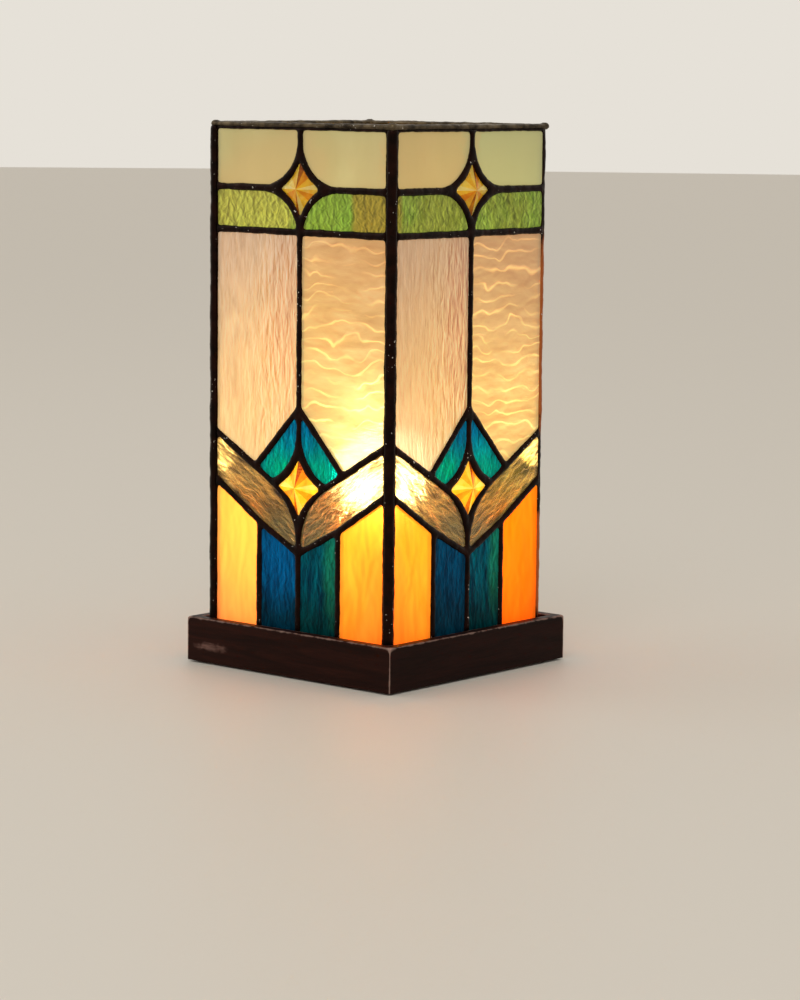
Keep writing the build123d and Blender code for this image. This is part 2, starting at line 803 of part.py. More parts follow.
def lamp_solid(wall, bands):
    """Globe and neck as one solid, drawn in by a wall thickness and turned in straight bands."""
    radius = globe_radius - wall
    bend = neck_bend + wall
    neck_turns = [180 - join_angle * step / neck_bands for step in range(neck_bands)]
    globe_turns = [-join_angle + (90 + join_angle) * step / bands for step in range(bands + 1)]
    neck = [(bend_x + bend * cos(radians(a)), bend_height + bend * sin(radians(a))) for a in neck_turns]
    globe = [(radius * cos(radians(a)), globe_centre + radius * sin(radians(a))) for a in globe_turns[:-1]]
    with BuildPart() as body:
        with BuildSketch(Plane.XZ):
            with BuildLine():
                Polyline(
                    (0, cap_top),
                    (neck_radius - wall, cap_top),
                    *neck,
                    *globe,
                    (0, globe_centre + radius),
                    close=True,
                )
            make_face()
        revolve(axis=Axis.Z)
    return body.part


with BuildPart() as lamp_globe:
    add(lamp_solid(0.0, globe_bands))
    add(lamp_solid(globe_wall, globe_bands), mode=Mode.SUBTRACT)
lamp_globe.part.label = "lamp_globe"
export_step(lamp_globe.part, "parts/lamp_globe.step")

mount_height = cap_bottom + mount_top
lead_height = cap_bottom + lead_top
flare_top = cap_bottom + cap_wall + mount_flare

with BuildPart() as lamp_mount:
    with BuildSketch(Plane.XZ):
        with BuildLine():
            Polyline(
                (0, cap_bottom + cap_wall),
                (cap_radius - cap_wall, cap_bottom + cap_wall),
                (cap_radius - cap_wall, flare_top),
                (mount_radius, flare_top + mount_flare),
                (mount_radius, mount_height),
                (0, mount_height),
                close=True,
            )
        make_face()
    revolve(axis=Axis.Z)
lamp_mount.part.label = "lamp_mount"
export_step(lamp_mount.part, "parts/lamp_mount.step")


def lead(side):
    """One wire that leans out from the mount's top to the filament's end."""
    with BuildPart() as wire:
        with BuildSketch(Plane.XY.offset(mount_height)):
            with Locations((side * lead_inset, 0)):
                Circle(lead_diameter / 2)
        with BuildSketch(Plane.XY.offset(lead_height)):
            with Locations((side * lead_spread, 0)):
                Circle(lead_diameter / 2)
        loft(ruled=True)
    return wire.part


export_group([lead(-1), lead(1)], "lamp_leads")

with BuildPart() as filament:
    with BuildSketch(Plane.YZ):
        with Locations((0, lead_height + filament_diameter / 2)):
            Circle(filament_diameter / 2)
    extrude(amount=lead_spread + lead_diameter / 2, both=True)
filament.part.label = "filament"
export_step(filament.part, "parts/filament.step")
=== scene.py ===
import json
import math
import bpy
import bmesh
from mathutils import Matrix, Vector


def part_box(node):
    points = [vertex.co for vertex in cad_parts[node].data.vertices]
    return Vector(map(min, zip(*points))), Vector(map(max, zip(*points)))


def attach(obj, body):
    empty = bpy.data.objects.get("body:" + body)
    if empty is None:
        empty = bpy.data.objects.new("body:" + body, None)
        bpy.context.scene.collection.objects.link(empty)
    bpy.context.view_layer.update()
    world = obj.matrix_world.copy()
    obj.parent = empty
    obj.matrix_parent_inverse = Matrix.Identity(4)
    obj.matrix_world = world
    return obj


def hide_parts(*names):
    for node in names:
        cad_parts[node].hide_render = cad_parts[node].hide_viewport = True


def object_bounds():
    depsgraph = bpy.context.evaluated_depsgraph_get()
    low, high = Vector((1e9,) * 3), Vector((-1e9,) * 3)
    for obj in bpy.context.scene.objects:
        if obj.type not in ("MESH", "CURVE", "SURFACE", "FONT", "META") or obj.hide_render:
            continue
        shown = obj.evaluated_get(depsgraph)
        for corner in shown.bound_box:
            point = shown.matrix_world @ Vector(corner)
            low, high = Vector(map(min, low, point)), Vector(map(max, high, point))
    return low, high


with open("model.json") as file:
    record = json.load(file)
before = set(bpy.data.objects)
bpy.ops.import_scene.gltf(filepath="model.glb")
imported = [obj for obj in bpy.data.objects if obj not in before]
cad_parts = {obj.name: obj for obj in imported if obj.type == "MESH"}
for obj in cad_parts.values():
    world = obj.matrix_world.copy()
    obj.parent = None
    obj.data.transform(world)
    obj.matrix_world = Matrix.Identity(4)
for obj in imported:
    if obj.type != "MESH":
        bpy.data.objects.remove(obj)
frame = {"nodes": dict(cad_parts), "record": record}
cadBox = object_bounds()
nodes = frame["nodes"]
slotOf = {entry["node"]: entry["material_slot"] for entry in frame["record"]["subparts"]}
scene = bpy.context.scene
scene.view_settings.view_transform = "Standard"
sides = ["front", "right", "back", "left"]
bulbCentre = (0.0, 0.0, 0.0985)
print("frame:", len(nodes), "CAD nodes")


def rgb(red, green, blue, alpha=1.0):
    # screen colour 0-255 to the linear values that shaders take
    levels = [c / 255 for c in (red, green, blue)]
    return tuple(c / 12.92 if c <= 0.04045 else ((c + 0.055) / 1.055) ** 2.4 for c in levels) + (alpha,)


def plug(tree, socket, value):
    # a socket is linked, anything else becomes the input's own value
    if isinstance(value, bpy.types.NodeSocket):
        tree.links.new(value, socket)
    else:
        socket.default_value = value


def setInputs(tree, sockets, **values):
    # names have _ for a space
    for name, value in values.items():
        plug(tree, sockets[name.replace("_", " ")], value)


def addNode(tree, kind, settings=None, **inputs):
    # inputs go by name, with _ for a space; i0, i1... name them by place
    node = tree.nodes.new(kind)
    for key, value in (settings or {}).items():
        setattr(node, key, value)
    for key, value in inputs.items():
        byPlace = key[0] == "i" and key[1:].isdigit()
        plug(tree, node.inputs[int(key[1:])] if byPlace else node.inputs[key.replace("_", " ")], value)
    return node


def socketType(value):
    # the type that suits a default value; a word names a type that takes none
    if isinstance(value, str):
        return "NodeSocket" + value
    if isinstance(value, tuple):
        return "NodeSocketVector" if len(value) == 3 else "NodeSocketColor"
    return "NodeSocketInt" if isinstance(value, int) else "NodeSocketFloat"


def newGroup(name, kind, inputs, outputs):
    tree = bpy.data.node_groups.new(name, kind)
    for label, default in inputs.items():
        socket = tree.interface.new_socket(label, in_out="INPUT", socket_type=socketType(default))
        if not isinstance(default, str):
            socket.default_value = default
    for label, word in outputs.items():
        tree.interface.new_socket(label, in_out="OUTPUT", socket_type=socketType(word))
    start = tree.nodes.new("NodeGroupInput")
    end = tree.nodes.new("NodeGroupOutput")
    return tree, start.outputs, end.inputs


def mathNode(tree, operation, a, b=0.0, clamp=False):
    settings = {"operation": operation, "use_clamp": clamp}
    return addNode(tree, "ShaderNodeMath", settings, i0=a, i1=b).outputs[0]


def plus(tree, a, b):
    return mathNode(tree, "ADD", a, b)


def minus(tree, a, b):
    return mathNode(tree, "SUBTRACT", a, b)


def times(tree, a, b):
    return mathNode(tree, "MULTIPLY", a, b)


def vectorNode(tree, operation, a, b=(0, 0, 0)):
    return addNode(tree, "ShaderNodeVectorMath", {"operation": operation}, i0=a, i1=b).outputs


def joinXyz(tree, **parts):
    return addNode(tree, "ShaderNodeCombineXYZ", None, **parts).outputs[0]


def splitXyz(tree, vector):
    return addNode(tree, "ShaderNodeSeparateXYZ", None, Vector=vector).outputs


def spreadOf(tree, spot):
    # how far a point is from the middle along X, Y and Z
    return splitXyz(tree, vectorNode(tree, "ABSOLUTE", spot)[0])


def mixColour(tree, factor, a, b, blend="MIX"):
    settings = {"data_type": "RGBA", "blend_type": blend}
    return addNode(tree, "ShaderNodeMix", settings, i0=factor, i6=a, i7=b).outputs[2]


def remap(tree, value, low, high, toLow=0.0, toHigh=1.0, curve="LINEAR"):
    settings = {"clamp": True, "interpolation_type": curve}
    node = addNode(tree, "ShaderNodeMapRange", settings, i0=value, i1=low, i2=high, i3=toLow, i4=toHigh)
    return node.outputs[0]


def objectPoint(tree):
    return tree.nodes.new("ShaderNodeTexCoord").outputs["Object"]


def noiseNode(tree, point, size, detail=3.0, wander=0.0, seed=0.0):
    # size is the noise's own grain in metres
    scale = mathNode(tree, "DIVIDE", 1.0, size) if isinstance(size, bpy.types.NodeSocket) else 1.0 / size
    node = addNode(tree, "ShaderNodeTexNoise", {"noise_dimensions": "4D"}, Vector=point, W=seed, Scale=scale,
                   Detail=detail, Distortion=wander)
    return node.outputs["Fac"]


def finishMaterial(name):
    material = bpy.data.materials.new(name)
    material.use_nodes = True
    tree = material.node_tree
    return material, tree, tree.nodes["Principled BSDF"].inputs


def setBump(tree, sockets, height, strength, depth):
    bump = addNode(tree, "ShaderNodeBump", None, Strength=strength, Distance=depth, Height=height)
    tree.links.new(bump.outputs[0], sockets["Normal"])


# camera, from the photograph's own perspective
cameraSetup = {"yaw": 40.68, "pitch": 7.523, "roll": 0.55, "distance": 1.66795, "targetHeight": 0.1254,
               "sideStep": 0.01174, "upStep": -0.03989, "lens": 115.15, "sensor": 36, "clipStart": 0.05,
               "clipEnd": 50}


def makeCamera():
    yaw = math.radians(cameraSetup["yaw"])
    pitch = math.radians(cameraSetup["pitch"])
    back = Vector((math.sin(yaw) * math.cos(pitch), -math.cos(yaw) * math.cos(pitch), math.sin(pitch)))
    right = Vector((math.cos(yaw), math.sin(yaw), 0))
    up = back.cross(right)
    stand = Vector((0, 0, cameraSetup["targetHeight"])) + back * cameraSetup["distance"]
    stand += right * cameraSetup["sideStep"] + up * cameraSetup["upStep"]
    turn = Matrix((right, up, back)).transposed() @ Matrix.Rotation(math.radians(cameraSetup["roll"]), 3, "Z")
    data = bpy.data.cameras.new("camera")
    data.lens = cameraSetup["lens"]
    data.sensor_width = cameraSetup["sensor"]
    data.clip_start = cameraSetup["clipStart"]
    data.clip_end = cameraSetup["clipEnd"]
    camera = bpy.data.objects.new("camera", data)
    camera.matrix_world = Matrix.Translation(stand) @ turn.to_4x4()
    scene.collection.objects.link(camera)
    scene.camera = camera


makeCamera()
print("camera set")

# floor, daylight and soft lamps
studio = {"floor": rgb(216, 210, 201), "floorRough": 0.55, "floorRadius": 9, "sky": rgb(230, 225, 216),
          "skyLight": 0.9, "aim": (0, 0, 0.12)}
softLamps = {"keyLight": {"at": (0.9, -1.5, 1.9), "size": 1.2, "power": 10},
             "fillLight": {"at": (-1.7, -0.9, 1.2), "size": 1.4, "power": 4}}


def makeFloor():
    mesh = bpy.data.meshes.new("floor")
    bm = bmesh.new()
    bmesh.ops.create_circle(bm, cap_ends=True, radius=studio["floorRadius"], segments=96)
    bm.to_mesh(mesh)
    bm.free()
    floor = bpy.data.objects.new("floor", mesh)
    scene.collection.objects.link(floor)
    material, tree, sockets = finishMaterial("paleFloor")
    setInputs(tree, sockets, Base_Color=studio["floor"], Roughness=studio["floorRough"])
    mesh.materials.append(material)


def makeLight():
    # the sky shows at full strength, and lights a little less
    world = bpy.data.worlds.new("daylight")
    scene.world = world
    world.use_nodes = True
    tree = world.node_tree
    tree.nodes.clear()
    rays = tree.nodes.new("ShaderNodeLightPath").outputs
    seen = mathNode(tree, "MAXIMUM", rays["Is Camera Ray"], rays["Is Glossy Ray"])
    seen = mathNode(tree, "MAXIMUM", seen, rays["Is Transmission Ray"])
    strength = remap(tree, seen, 0, 1, studio["skyLight"], 1.0)
    sky = addNode(tree, "ShaderNodeBackground", None, Color=studio["sky"], Strength=strength)
    addNode(tree, "ShaderNodeOutputWorld", None, Surface=sky.outputs[0])
    for name, lamp in softLamps.items():
        data = bpy.data.lights.new(name, "AREA")
        data.energy = lamp["power"]
        data.size = lamp["size"]
        light = bpy.data.objects.new(name, data)
        light.location = lamp["at"]
        toward = Vector(studio["aim"]) - Vector(lamp["at"])
        light.rotation_euler = toward.to_track_quat("-Z", "Y").to_euler()
        scene.collection.objects.link(light)


makeFloor()
makeLight()
print("studio set")

# working distances on meshes
meshSteps = {"inside": 0.0005, "join": 2e-6, "tiny": 1e-7, "flush": 1e-5}


def islands(bm):
    # the separate solids of a mesh, as lists of vertices
    left = set(bm.verts)
    while left:
        start = left.pop()
        found = [start]
        edge = [start]
        while edge:
            vert = edge.pop()
            for link in vert.link_edges:
                other = link.other_vert(vert)
                if other in left:
                    left.discard(other)
                    found.append(other)
                    edge.append(other)
        yield found


def mergedCopy(node, keep=None):
    # a CAD node's mesh with its doubles merged; keep picks solids by a point just inside each of their faces
    bm = bmesh.new()
    bm.from_mesh(nodes[node].data)
    if keep:
        inside = meshSteps["inside"]
        others = [f for f in bm.faces if not keep(f.calc_center_median() - f.normal * inside)]
        bmesh.ops.delete(bm, geom=others, context="FACES")
    bmesh.ops.remove_doubles(bm, verts=bm.verts, dist=meshSteps["join"])
    return bm


def newPiece(name, bm):
    mesh = bpy.data.meshes.new(name)
    bm.to_mesh(mesh)
    bm.free()
    piece = bpy.data.objects.new(name, mesh)
    scene.collection.objects.link(piece)
    return piece


def keepMesh(piece):
    # turns what the modifiers give into the piece's plain mesh
    graph = bpy.context.evaluated_depsgraph_get()
    shown = piece.evaluated_get(graph)
    mesh = bpy.data.meshes.new_from_object(shown, preserve_all_data_layers=True, depsgraph=graph)
    old = piece.data
    piece.modifiers.clear()
    piece.data = mesh
    bpy.data.meshes.remove(old)
    mesh.name = piece.name


def runTree(piece, tree, **inputs):
    modifier = piece.modifiers.new(tree.name, "NODES")
    modifier.node_group = tree
    for item in tree.interface.items_tree:
        if item.in_out == "INPUT" and item.name in inputs:
            modifier[item.identifier] = inputs[item.name]
    keepMesh(piece)


def voxels(piece, size):
    modifier = piece.modifiers.new("voxels", "REMESH")
    modifier.mode = "VOXEL"
    modifier.voxel_size = size
    modifier.use_smooth_shade = True


def seat(piece, body, slot, *stands):
    # hangs a finished piece on its body, in place of CAD nodes
    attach(piece, body)
    if stands:
        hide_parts(*stands)


def sideAxes(quarter):
    # along a side of the shade, left to right, and out of it
    turn = Matrix.Rotation(math.radians(90 * quarter), 3, "Z")
    return turn @ Vector((1, 0, 0)), turn @ Vector((0, -1, 0))


def shadeByAngle(mesh, angle):
    bm = bmesh.new()
    bm.from_mesh(mesh)
    limit = math.radians(angle)
    for face in bm.faces:
        face.smooth = True
    for edge in bm.edges:
        edge.smooth = edge.calc_face_angle(0) < limit
    bm.to_mesh(mesh)
    bm.free()


# shader groups that several finishes share
skinOutputs = {"Color": "Color", "Rough": "Float", "Height": "Float"}


def flowPoint(tree, spot, flow, stretch):
    # coordinates in a sheet of glass: along its draw, shortened by stretch, across it, and one that tells
    # panes apart
    spread = spreadOf(tree, spot)
    draw = splitXyz(tree, flow)
    level = plus(tree, spread["X"], spread["Y"])
    along = plus(tree, times(tree, level, draw["X"]), times(tree, spread["Z"], draw["Y"]))
    across = minus(tree, times(tree, spread["Z"], draw["X"]), times(tree, level, draw["Y"]))
    apart = vectorNode(tree, "DOT_PRODUCT", spot, (0.12, 0.2, 0))["Value"]
    return joinXyz(tree, X=times(tree, along, stretch), Y=across, Z=apart), across


def makeStreaks():
    # drawn sheet glass: a soft streak mask, thin wandering lines, broad clouds, painted light and shade of
    # dents, bump
    tree, given, result = newGroup("glassStreaks", "ShaderNodeTree", {
        "Flow": (0, 1, 0), "Stretch": 0.3, "Size": 0.01, "Wander": 0.5, "Spacing": 0.006, "Sway": 1.0,
        "Line": 0.1, "CloudSize": 0.045, "CloudEdge": 0.12, "DentSize": 0.0025, "DentStretch": 0.3,
        "Seed": 0.0},
        {"Mask": "Float", "Lines": "Float", "Cloud": "Float", "Relief": "Float", "Height": "Float"})
    spot = objectPoint(tree)
    seed = given["Seed"]
    wander = given["Wander"]
    spacing = given["Spacing"]
    point, across = flowPoint(tree, spot, given["Flow"], given["Stretch"])
    soft = noiseNode(tree, point, given["Size"], 3.0, wander, seed)
    fine = noiseNode(tree, point, times(tree, given["Size"], 0.31), 2.0, wander, seed)
    # lines: every Spacing across the draw, swayed by a noise and broken by another
    swing = noiseNode(tree, spot, times(tree, spacing, 2.6), 1.5, 0.3, seed)
    sway = times(tree, minus(tree, swing, 0.5), given["Sway"])
    phase = plus(tree, mathNode(tree, "DIVIDE", across, spacing), sway)
    ridge = mathNode(tree, "ABSOLUTE", minus(tree, mathNode(tree, "FRACT", phase), 0.5))
    lines = remap(tree, ridge, 0.0, given["Line"], 1.0, 0.0, "SMOOTHSTEP")
    gaps = noiseNode(tree, spot, times(tree, spacing, 2.4), 1.0, 0.0, seed)
    lines = times(tree, lines, remap(tree, gaps, 0.36, 0.6))
    cloud = noiseNode(tree, spot, given["CloudSize"], 2.0, 0.4, seed)
    cloud = remap(tree, cloud, minus(tree, 0.5, given["CloudEdge"]), plus(tree, 0.5, given["CloudEdge"]))
    # painted light and shade of the dents: one noise less itself a step aside is lit on one flank and shaded
    # on the other
    dents = flowPoint(tree, spot, given["Flow"], given["DentStretch"])[0]
    aside = joinXyz(tree, Y=times(tree, given["DentSize"], 0.3))
    here = noiseNode(tree, dents, given["DentSize"], 2.0, 0.8, seed)
    there = noiseNode(tree, vectorNode(tree, "ADD", dents, aside)[0], given["DentSize"], 2.0, 0.8, seed)
    dentLightAndShade = remap(tree, minus(tree, here, there), -0.16, 0.16)
    height = plus(tree, plus(tree, soft, times(tree, fine, 0.35)), times(tree, lines, 0.3))
    setInputs(tree, result, Mask=remap(tree, soft, 0.33, 0.67), Lines=lines, Cloud=cloud, Relief=dentLightAndShade,
              Height=height)
    return tree


def makePatch():
    # a ragged oval patch; folded, it stands at the same place on both halves of every side
    tree, given, result = newGroup("raggedPatch", "ShaderNodeTree", {
        "Centre": (0, 0, 0), "Reach": (0.01, 0.01, 0.01), "Ragged": 0.5, "Core": 0.8, "Fold": 0.0,
        "Seed": 0.0}, {"Mask": "Float"})
    spot = objectPoint(tree)
    spread = spreadOf(tree, spot)
    nearer = mathNode(tree, "MINIMUM", spread["X"], spread["Y"])
    farther = mathNode(tree, "MAXIMUM", spread["X"], spread["Y"])
    folded = joinXyz(tree, X=nearer, Y=farther, Z=spread["Z"])
    choice = addNode(tree, "ShaderNodeMix", {"data_type": "VECTOR"}, i0=given["Fold"], i4=spot, i5=folded)
    away = vectorNode(tree, "SUBTRACT", choice.outputs[1], given["Centre"])[0]
    away = vectorNode(tree, "DIVIDE", away, given["Reach"])[0]
    noise = noiseNode(tree, spot, 0.007, 3.0, 0.8, given["Seed"])
    torn = times(tree, minus(tree, noise, 0.5), given["Ragged"])
    reach = plus(tree, vectorNode(tree, "LENGTH", away)["Value"], torn)
    setInputs(tree, result, Mask=remap(tree, reach, given["Core"], 1.0, 1.0, 0.0, "SMOOTHSTEP"))
    return tree


def makeGlow():
    # painted lamplight glowing in the glass, falling off with the distance from the lamp
    tree, given, result = newGroup("lampGlow", "ShaderNodeTree", {
        "Near": (1, 1, 1, 1), "Far": (0, 0, 0, 1), "Start": 0.06, "End": 0.2}, {"Color": "Color"})
    distance = vectorNode(tree, "DISTANCE", objectPoint(tree), bulbCentre)["Value"]
    share = remap(tree, distance, given["Start"], given["End"], 0.0, 1.0, "SMOOTHSTEP")
    setInputs(tree, result, Color=mixColour(tree, share, given["Near"], given["Far"]))
    return tree


def makeGrain():
    # wood: broad figure with fine pores
    tree, given, result = newGroup("woodGrain", "ShaderNodeTree", {
        "Stretch": (1, 1, 1), "Size": 0.004, "Light": (0.2, 0.1, 0.05, 1), "Dark": (0.1, 0.05, 0.02, 1),
        "Seed": 0.0}, skinOutputs)
    point = vectorNode(tree, "MULTIPLY", objectPoint(tree), given["Stretch"])[0]
    broad = noiseNode(tree, point, given["Size"], 5.0, 0.8, given["Seed"])
    pores = noiseNode(tree, point, times(tree, given["Size"], 0.16), 2.0, 0.0, given["Seed"])
    mask = times(tree, remap(tree, broad, 0.35, 0.66), remap(tree, pores, 0.3, 0.62, 0.6, 1.0))
    setInputs(tree, result, Color=mixColour(tree, mask, given["Dark"], given["Light"]),
              Rough=remap(tree, pores, 0.25, 0.75, 0.52, 0.34),
              Height=plus(tree, times(tree, broad, 0.4), pores))
    return tree


def makeTarnish():
    # metal that has dulled in clouds, with fine grit
    tree, given, result = newGroup("tarnish", "ShaderNodeTree", {
        "Bright": (0.6, 0.5, 0.3, 1), "Dull": (0.2, 0.15, 0.1, 1), "Size": 0.004, "Polish": 0.25, "Matt": 0.5,
        "Seed": 0.0}, skinOutputs)
    point = objectPoint(tree)
    cloud = noiseNode(tree, point, given["Size"], 4.0, 0.4, given["Seed"])
    grit = noiseNode(tree, point, times(tree, given["Size"], 0.12), 2.0, 0.0, given["Seed"])
    mask = remap(tree, plus(tree, cloud, times(tree, grit, 0.3)), 0.48, 0.82)
    setInputs(tree, result, Color=mixColour(tree, mask, given["Bright"], given["Dull"]),
              Rough=remap(tree, mask, 0.0, 1.0, given["Polish"], given["Matt"]),
              Height=plus(tree, cloud, times(tree, grit, 0.4)))
    return tree


def makeSpeckle():
    # moulded or pressed stuff with small flecks
    tree, given, result = newGroup("speckle", "ShaderNodeTree", {
        "Tone": (0.1, 0.1, 0.1, 1), "Fleck": (0.2, 0.2, 0.2, 1), "Size": 0.001, "Share": 0.5, "Seed": 0.0},
        skinOutputs)
    grain = noiseNode(tree, objectPoint(tree), given["Size"], 4.0, 0.3, given["Seed"])
    mask = times(tree, remap(tree, grain, 0.4, 0.65), given["Share"])
    setInputs(tree, result, Color=mixColour(tree, mask, given["Tone"], given["Fleck"]),
              Rough=remap(tree, grain, 0.3, 0.7, 0.4, 0.62), Height=grain)
    return tree


streakGroup = makeStreaks()
patchGroup = makePatch()
glowGroup = makeGlow()
grainGroup = makeGrain()
tarnishGroup = makeTarnish()
speckleGroup = makeSpeckle()
print("shader groups ready")


def place(tree, group, **inputs):
    return addNode(tree, "ShaderNodeGroup", {"node_tree": group}, **inputs).outputs


# parts that the geometry trees share

def liveSocket(sockets, name):
    # a node of several types has one enabled socket of each name
    return [s for s in sockets if s.name == name and s.enabled][0]


def movePoints(tree, geometry, **where):
    return addNode(tree, "GeometryNodeSetPosition", None, Geometry=geometry, **where).outputs[0]


def alongNormal(tree, amount):
    normal = tree.nodes.new("GeometryNodeInputNormal").outputs[0]
    scaled = addNode(tree, "ShaderNodeVectorMath", {"operation": "SCALE"}, Vector=normal, Scale=amount)
    return scaled.outputs[0]


def endTree(tree, geometry, given, result, crease=None):
    # the close that every tree has: smooth faces, sharp creases, plain mesh, its material
    smooth = addNode(tree, "GeometryNodeSetShadeSmooth", {"domain": "FACE"}, Geometry=geometry).outputs[0]
    if crease is not None:
        angle = tree.nodes.new("GeometryNodeInputMeshEdgeAngle").outputs[0]
        sharp = addNode(tree, "FunctionNodeCompare", {"operation": "GREATER_THAN"}, i0=angle, i1=crease)
        smooth = addNode(tree, "GeometryNodeSetShadeSmooth", {"domain": "EDGE"}, Geometry=smooth,
                         Selection=sharp.outputs[0], Shade_Smooth=False).outputs[0]
    real = addNode(tree, "GeometryNodeRealizeInstances", None, Geometry=smooth).outputs[0]
    done = addNode(tree, "GeometryNodeSetMaterial", None, Geometry=real, Material=given["Material"])
    setInputs(tree, result, Geometry=done.outputs[0])


def makeSolderTree():
    # rounds a lattice into a run bead and gives it the lumps of hand soldering
    tree, given, result = newGroup("solderBead", "GeometryNodeTree", {
        "Geometry": "Geometry", "Rounding": 4, "LumpDepth": 0.0004, "LumpSize": 0.006, "GrainDepth": 0.0001,
        "GrainSize": 0.0015, "Swell": 0.0, "Top": 0.28, "Seed": 0.0, "Material": "Material"},
        {"Geometry": "Geometry"})
    position = tree.nodes.new("GeometryNodeInputPosition").outputs[0]
    blur = addNode(tree, "GeometryNodeBlurAttribute", {"data_type": "FLOAT_VECTOR"},
                   Iterations=given["Rounding"])
    plug(tree, liveSocket(blur.inputs, "Value"), position)
    rounded = movePoints(tree, given["Geometry"], Position=liveSocket(blur.outputs, "Value"))
    lump = noiseNode(tree, position, given["LumpSize"], 2.0, 0.3, given["Seed"])
    grain = noiseNode(tree, position, given["GrainSize"], 2.0, 0.0, given["Seed"])
    lift = times(tree, minus(tree, lump, 0.45), given["LumpDepth"])
    rough = times(tree, minus(tree, grain, 0.5), given["GrainDepth"])
    rough = plus(tree, rough, given["Swell"])
    lumpy = movePoints(tree, rounded, Offset=alongNormal(tree, plus(tree, lift, rough)))
    roof = joinXyz(tree, X=1.0, Y=1.0, Z=given["Top"])
    held = movePoints(tree, lumpy, Position=vectorNode(tree, "MINIMUM", position, roof)[0])
    endTree(tree, held, given, result)
    return tree


def makeRippleTree():
    # rolls waves into both faces of a pane
    tree, given, result = newGroup("rolledGlass", "GeometryNodeTree", {
        "Geometry": "Geometry", "Flow": (0, 1, 0), "Stretch": 0.3, "WaveSize": 0.01, "WaveDepth": 0.0002,
        "Wander": 0.5, "Seed": 0.0, "Material": "Material"}, {"Geometry": "Geometry"})
    position = tree.nodes.new("GeometryNodeInputPosition").outputs[0]
    point = flowPoint(tree, position, given["Flow"], given["Stretch"])[0]
    wave = noiseNode(tree, point, given["WaveSize"], 2.0, given["Wander"], given["Seed"])
    lift = times(tree, minus(tree, wave, 0.5), given["WaveDepth"])
    waved = movePoints(tree, given["Geometry"], Offset=alongNormal(tree, lift))
    endTree(tree, waved, given, result)
    return tree


solderTree = makeSolderTree()
rippleTree = makeRippleTree()
print("geometry trees ready")

# black patina solder: the lattices, the corner seams and the rim
solder = {"voxel": 0.0007, "rounding": 4, "lumpDepth": 0.0011, "lumpSize": 0.011, "grainDepth": 0.0006,
          "grainSize": 0.0032, "swell": 0.0001, "borderTrim": 0.0007, "trimFrom": 0.005, "trimBlend": 0.0035,
          "bright": rgb(33, 12, 6), "dull": rgb(12, 4, 2), "cloudSize": 0.006, "polish": 0.3, "matt": 0.5,
          "metal": 0.8, "specular": 0.12, "coat": 0.04, "coatRough": 0.25, "bump": 0.5, "bumpDepth": 0.0004,
          "bare": rgb(214, 208, 198), "bareSize": 0.0014, "fleck": 0.7, "fleckBlend": 0.05,
          "bareSpread": 0.018, "copper": rgb(172, 92, 42), "rubRagged": 0.8, "rubCore": 0.7,
          "rimSwell": 0.0003, "rimBright": rgb(108, 94, 72), "rimDull": rgb(38, 29, 20),
          "cornerDrop": 0.0019, "dropInset": 0.97}
# where the patina has rubbed through to the copper foil
rubbed = [{"centre": (0.061, 0.061, 0.17), "reach": (0.012, 0.009, 0.058)},
          {"centre": (0.061, 0.061, 0.05), "reach": (0.012, 0.009, 0.034)}]
# every corner is run by hand, so each swells and sits in a little differently
cornerSeams = {"frontLeftSeam": {"at": (-1, -1), "swell": 0.0006, "sink": -0.0003},
               "frontRightSeam": {"at": (1, -1), "swell": 0.0002, "sink": 0.0},
               "backRightSeam": {"at": (1, 1), "swell": 0.0002, "sink": 0.0009},
               "backLeftSeam": {"at": (-1, 1), "swell": 0.0003, "sink": 0.0002}}
solderSeeds = {"side": 3.7, "corner": 21.0, "rim": 33.0, "rub": 3.0, "bare": 6.0}


def solderMaterial(name, bright, dull, worn):
    material, tree, sockets = finishMaterial(name)
    point = objectPoint(tree)
    skin = place(tree, tarnishGroup, Bright=bright, Dull=dull, Size=solder["cloudSize"],
                 Polish=solder["polish"], Matt=solder["matt"])
    tone = skin["Color"]
    for spot in worn:
        mask = place(tree, patchGroup, Centre=spot["centre"], Reach=spot["reach"],
                     Ragged=solder["rubRagged"], Core=solder["rubCore"], Seed=solderSeeds["rub"])
        tone = mixColour(tree, mask["Mask"], tone, solder["copper"])
    speck = noiseNode(tree, point, solder["bareSize"], 1.0)
    speck = remap(tree, speck, solder["fleck"], solder["fleck"] + solder["fleckBlend"])
    area = remap(tree, noiseNode(tree, point, solder["bareSpread"], 1.0, 0.0, solderSeeds["bare"]), 0.5, 0.56)
    setInputs(tree, sockets, Base_Color=mixColour(tree, times(tree, speck, area), tone, solder["bare"]),
              Roughness=skin["Rough"], Metallic=solder["metal"], Specular_IOR_Level=solder["specular"],
              Coat_Weight=solder["coat"], Coat_Roughness=solder["coatRough"])
    setBump(tree, sockets, skin["Height"], solder["bump"], solder["bumpDepth"])
    return material


def runSolder(piece, material, swell, seed):
    voxels(piece, solder["voxel"])
    runTree(piece, solderTree, Rounding=solder["rounding"], LumpDepth=solder["lumpDepth"],
            LumpSize=solder["lumpSize"], GrainDepth=solder["grainDepth"], GrainSize=solder["grainSize"],
            Swell=swell, Top=cadBox[1][2], Seed=seed, Material=material)


def trimBorders(bm, across):
    # the upright borders show narrower than the foil under them; the outermost edge stays where it is
    edge = max(v.co.dot(across) for v in bm.verts)
    for vert in bm.verts:
        along = vert.co.dot(across)
        share = (abs(along) - edge + solder["trimFrom"]) / solder["trimBlend"]
        pull = min(max(share, 0.0), 1.0) * solder["borderTrim"]
        pull = min(pull, edge - abs(along))
        vert.co += across * math.copysign(pull, along)


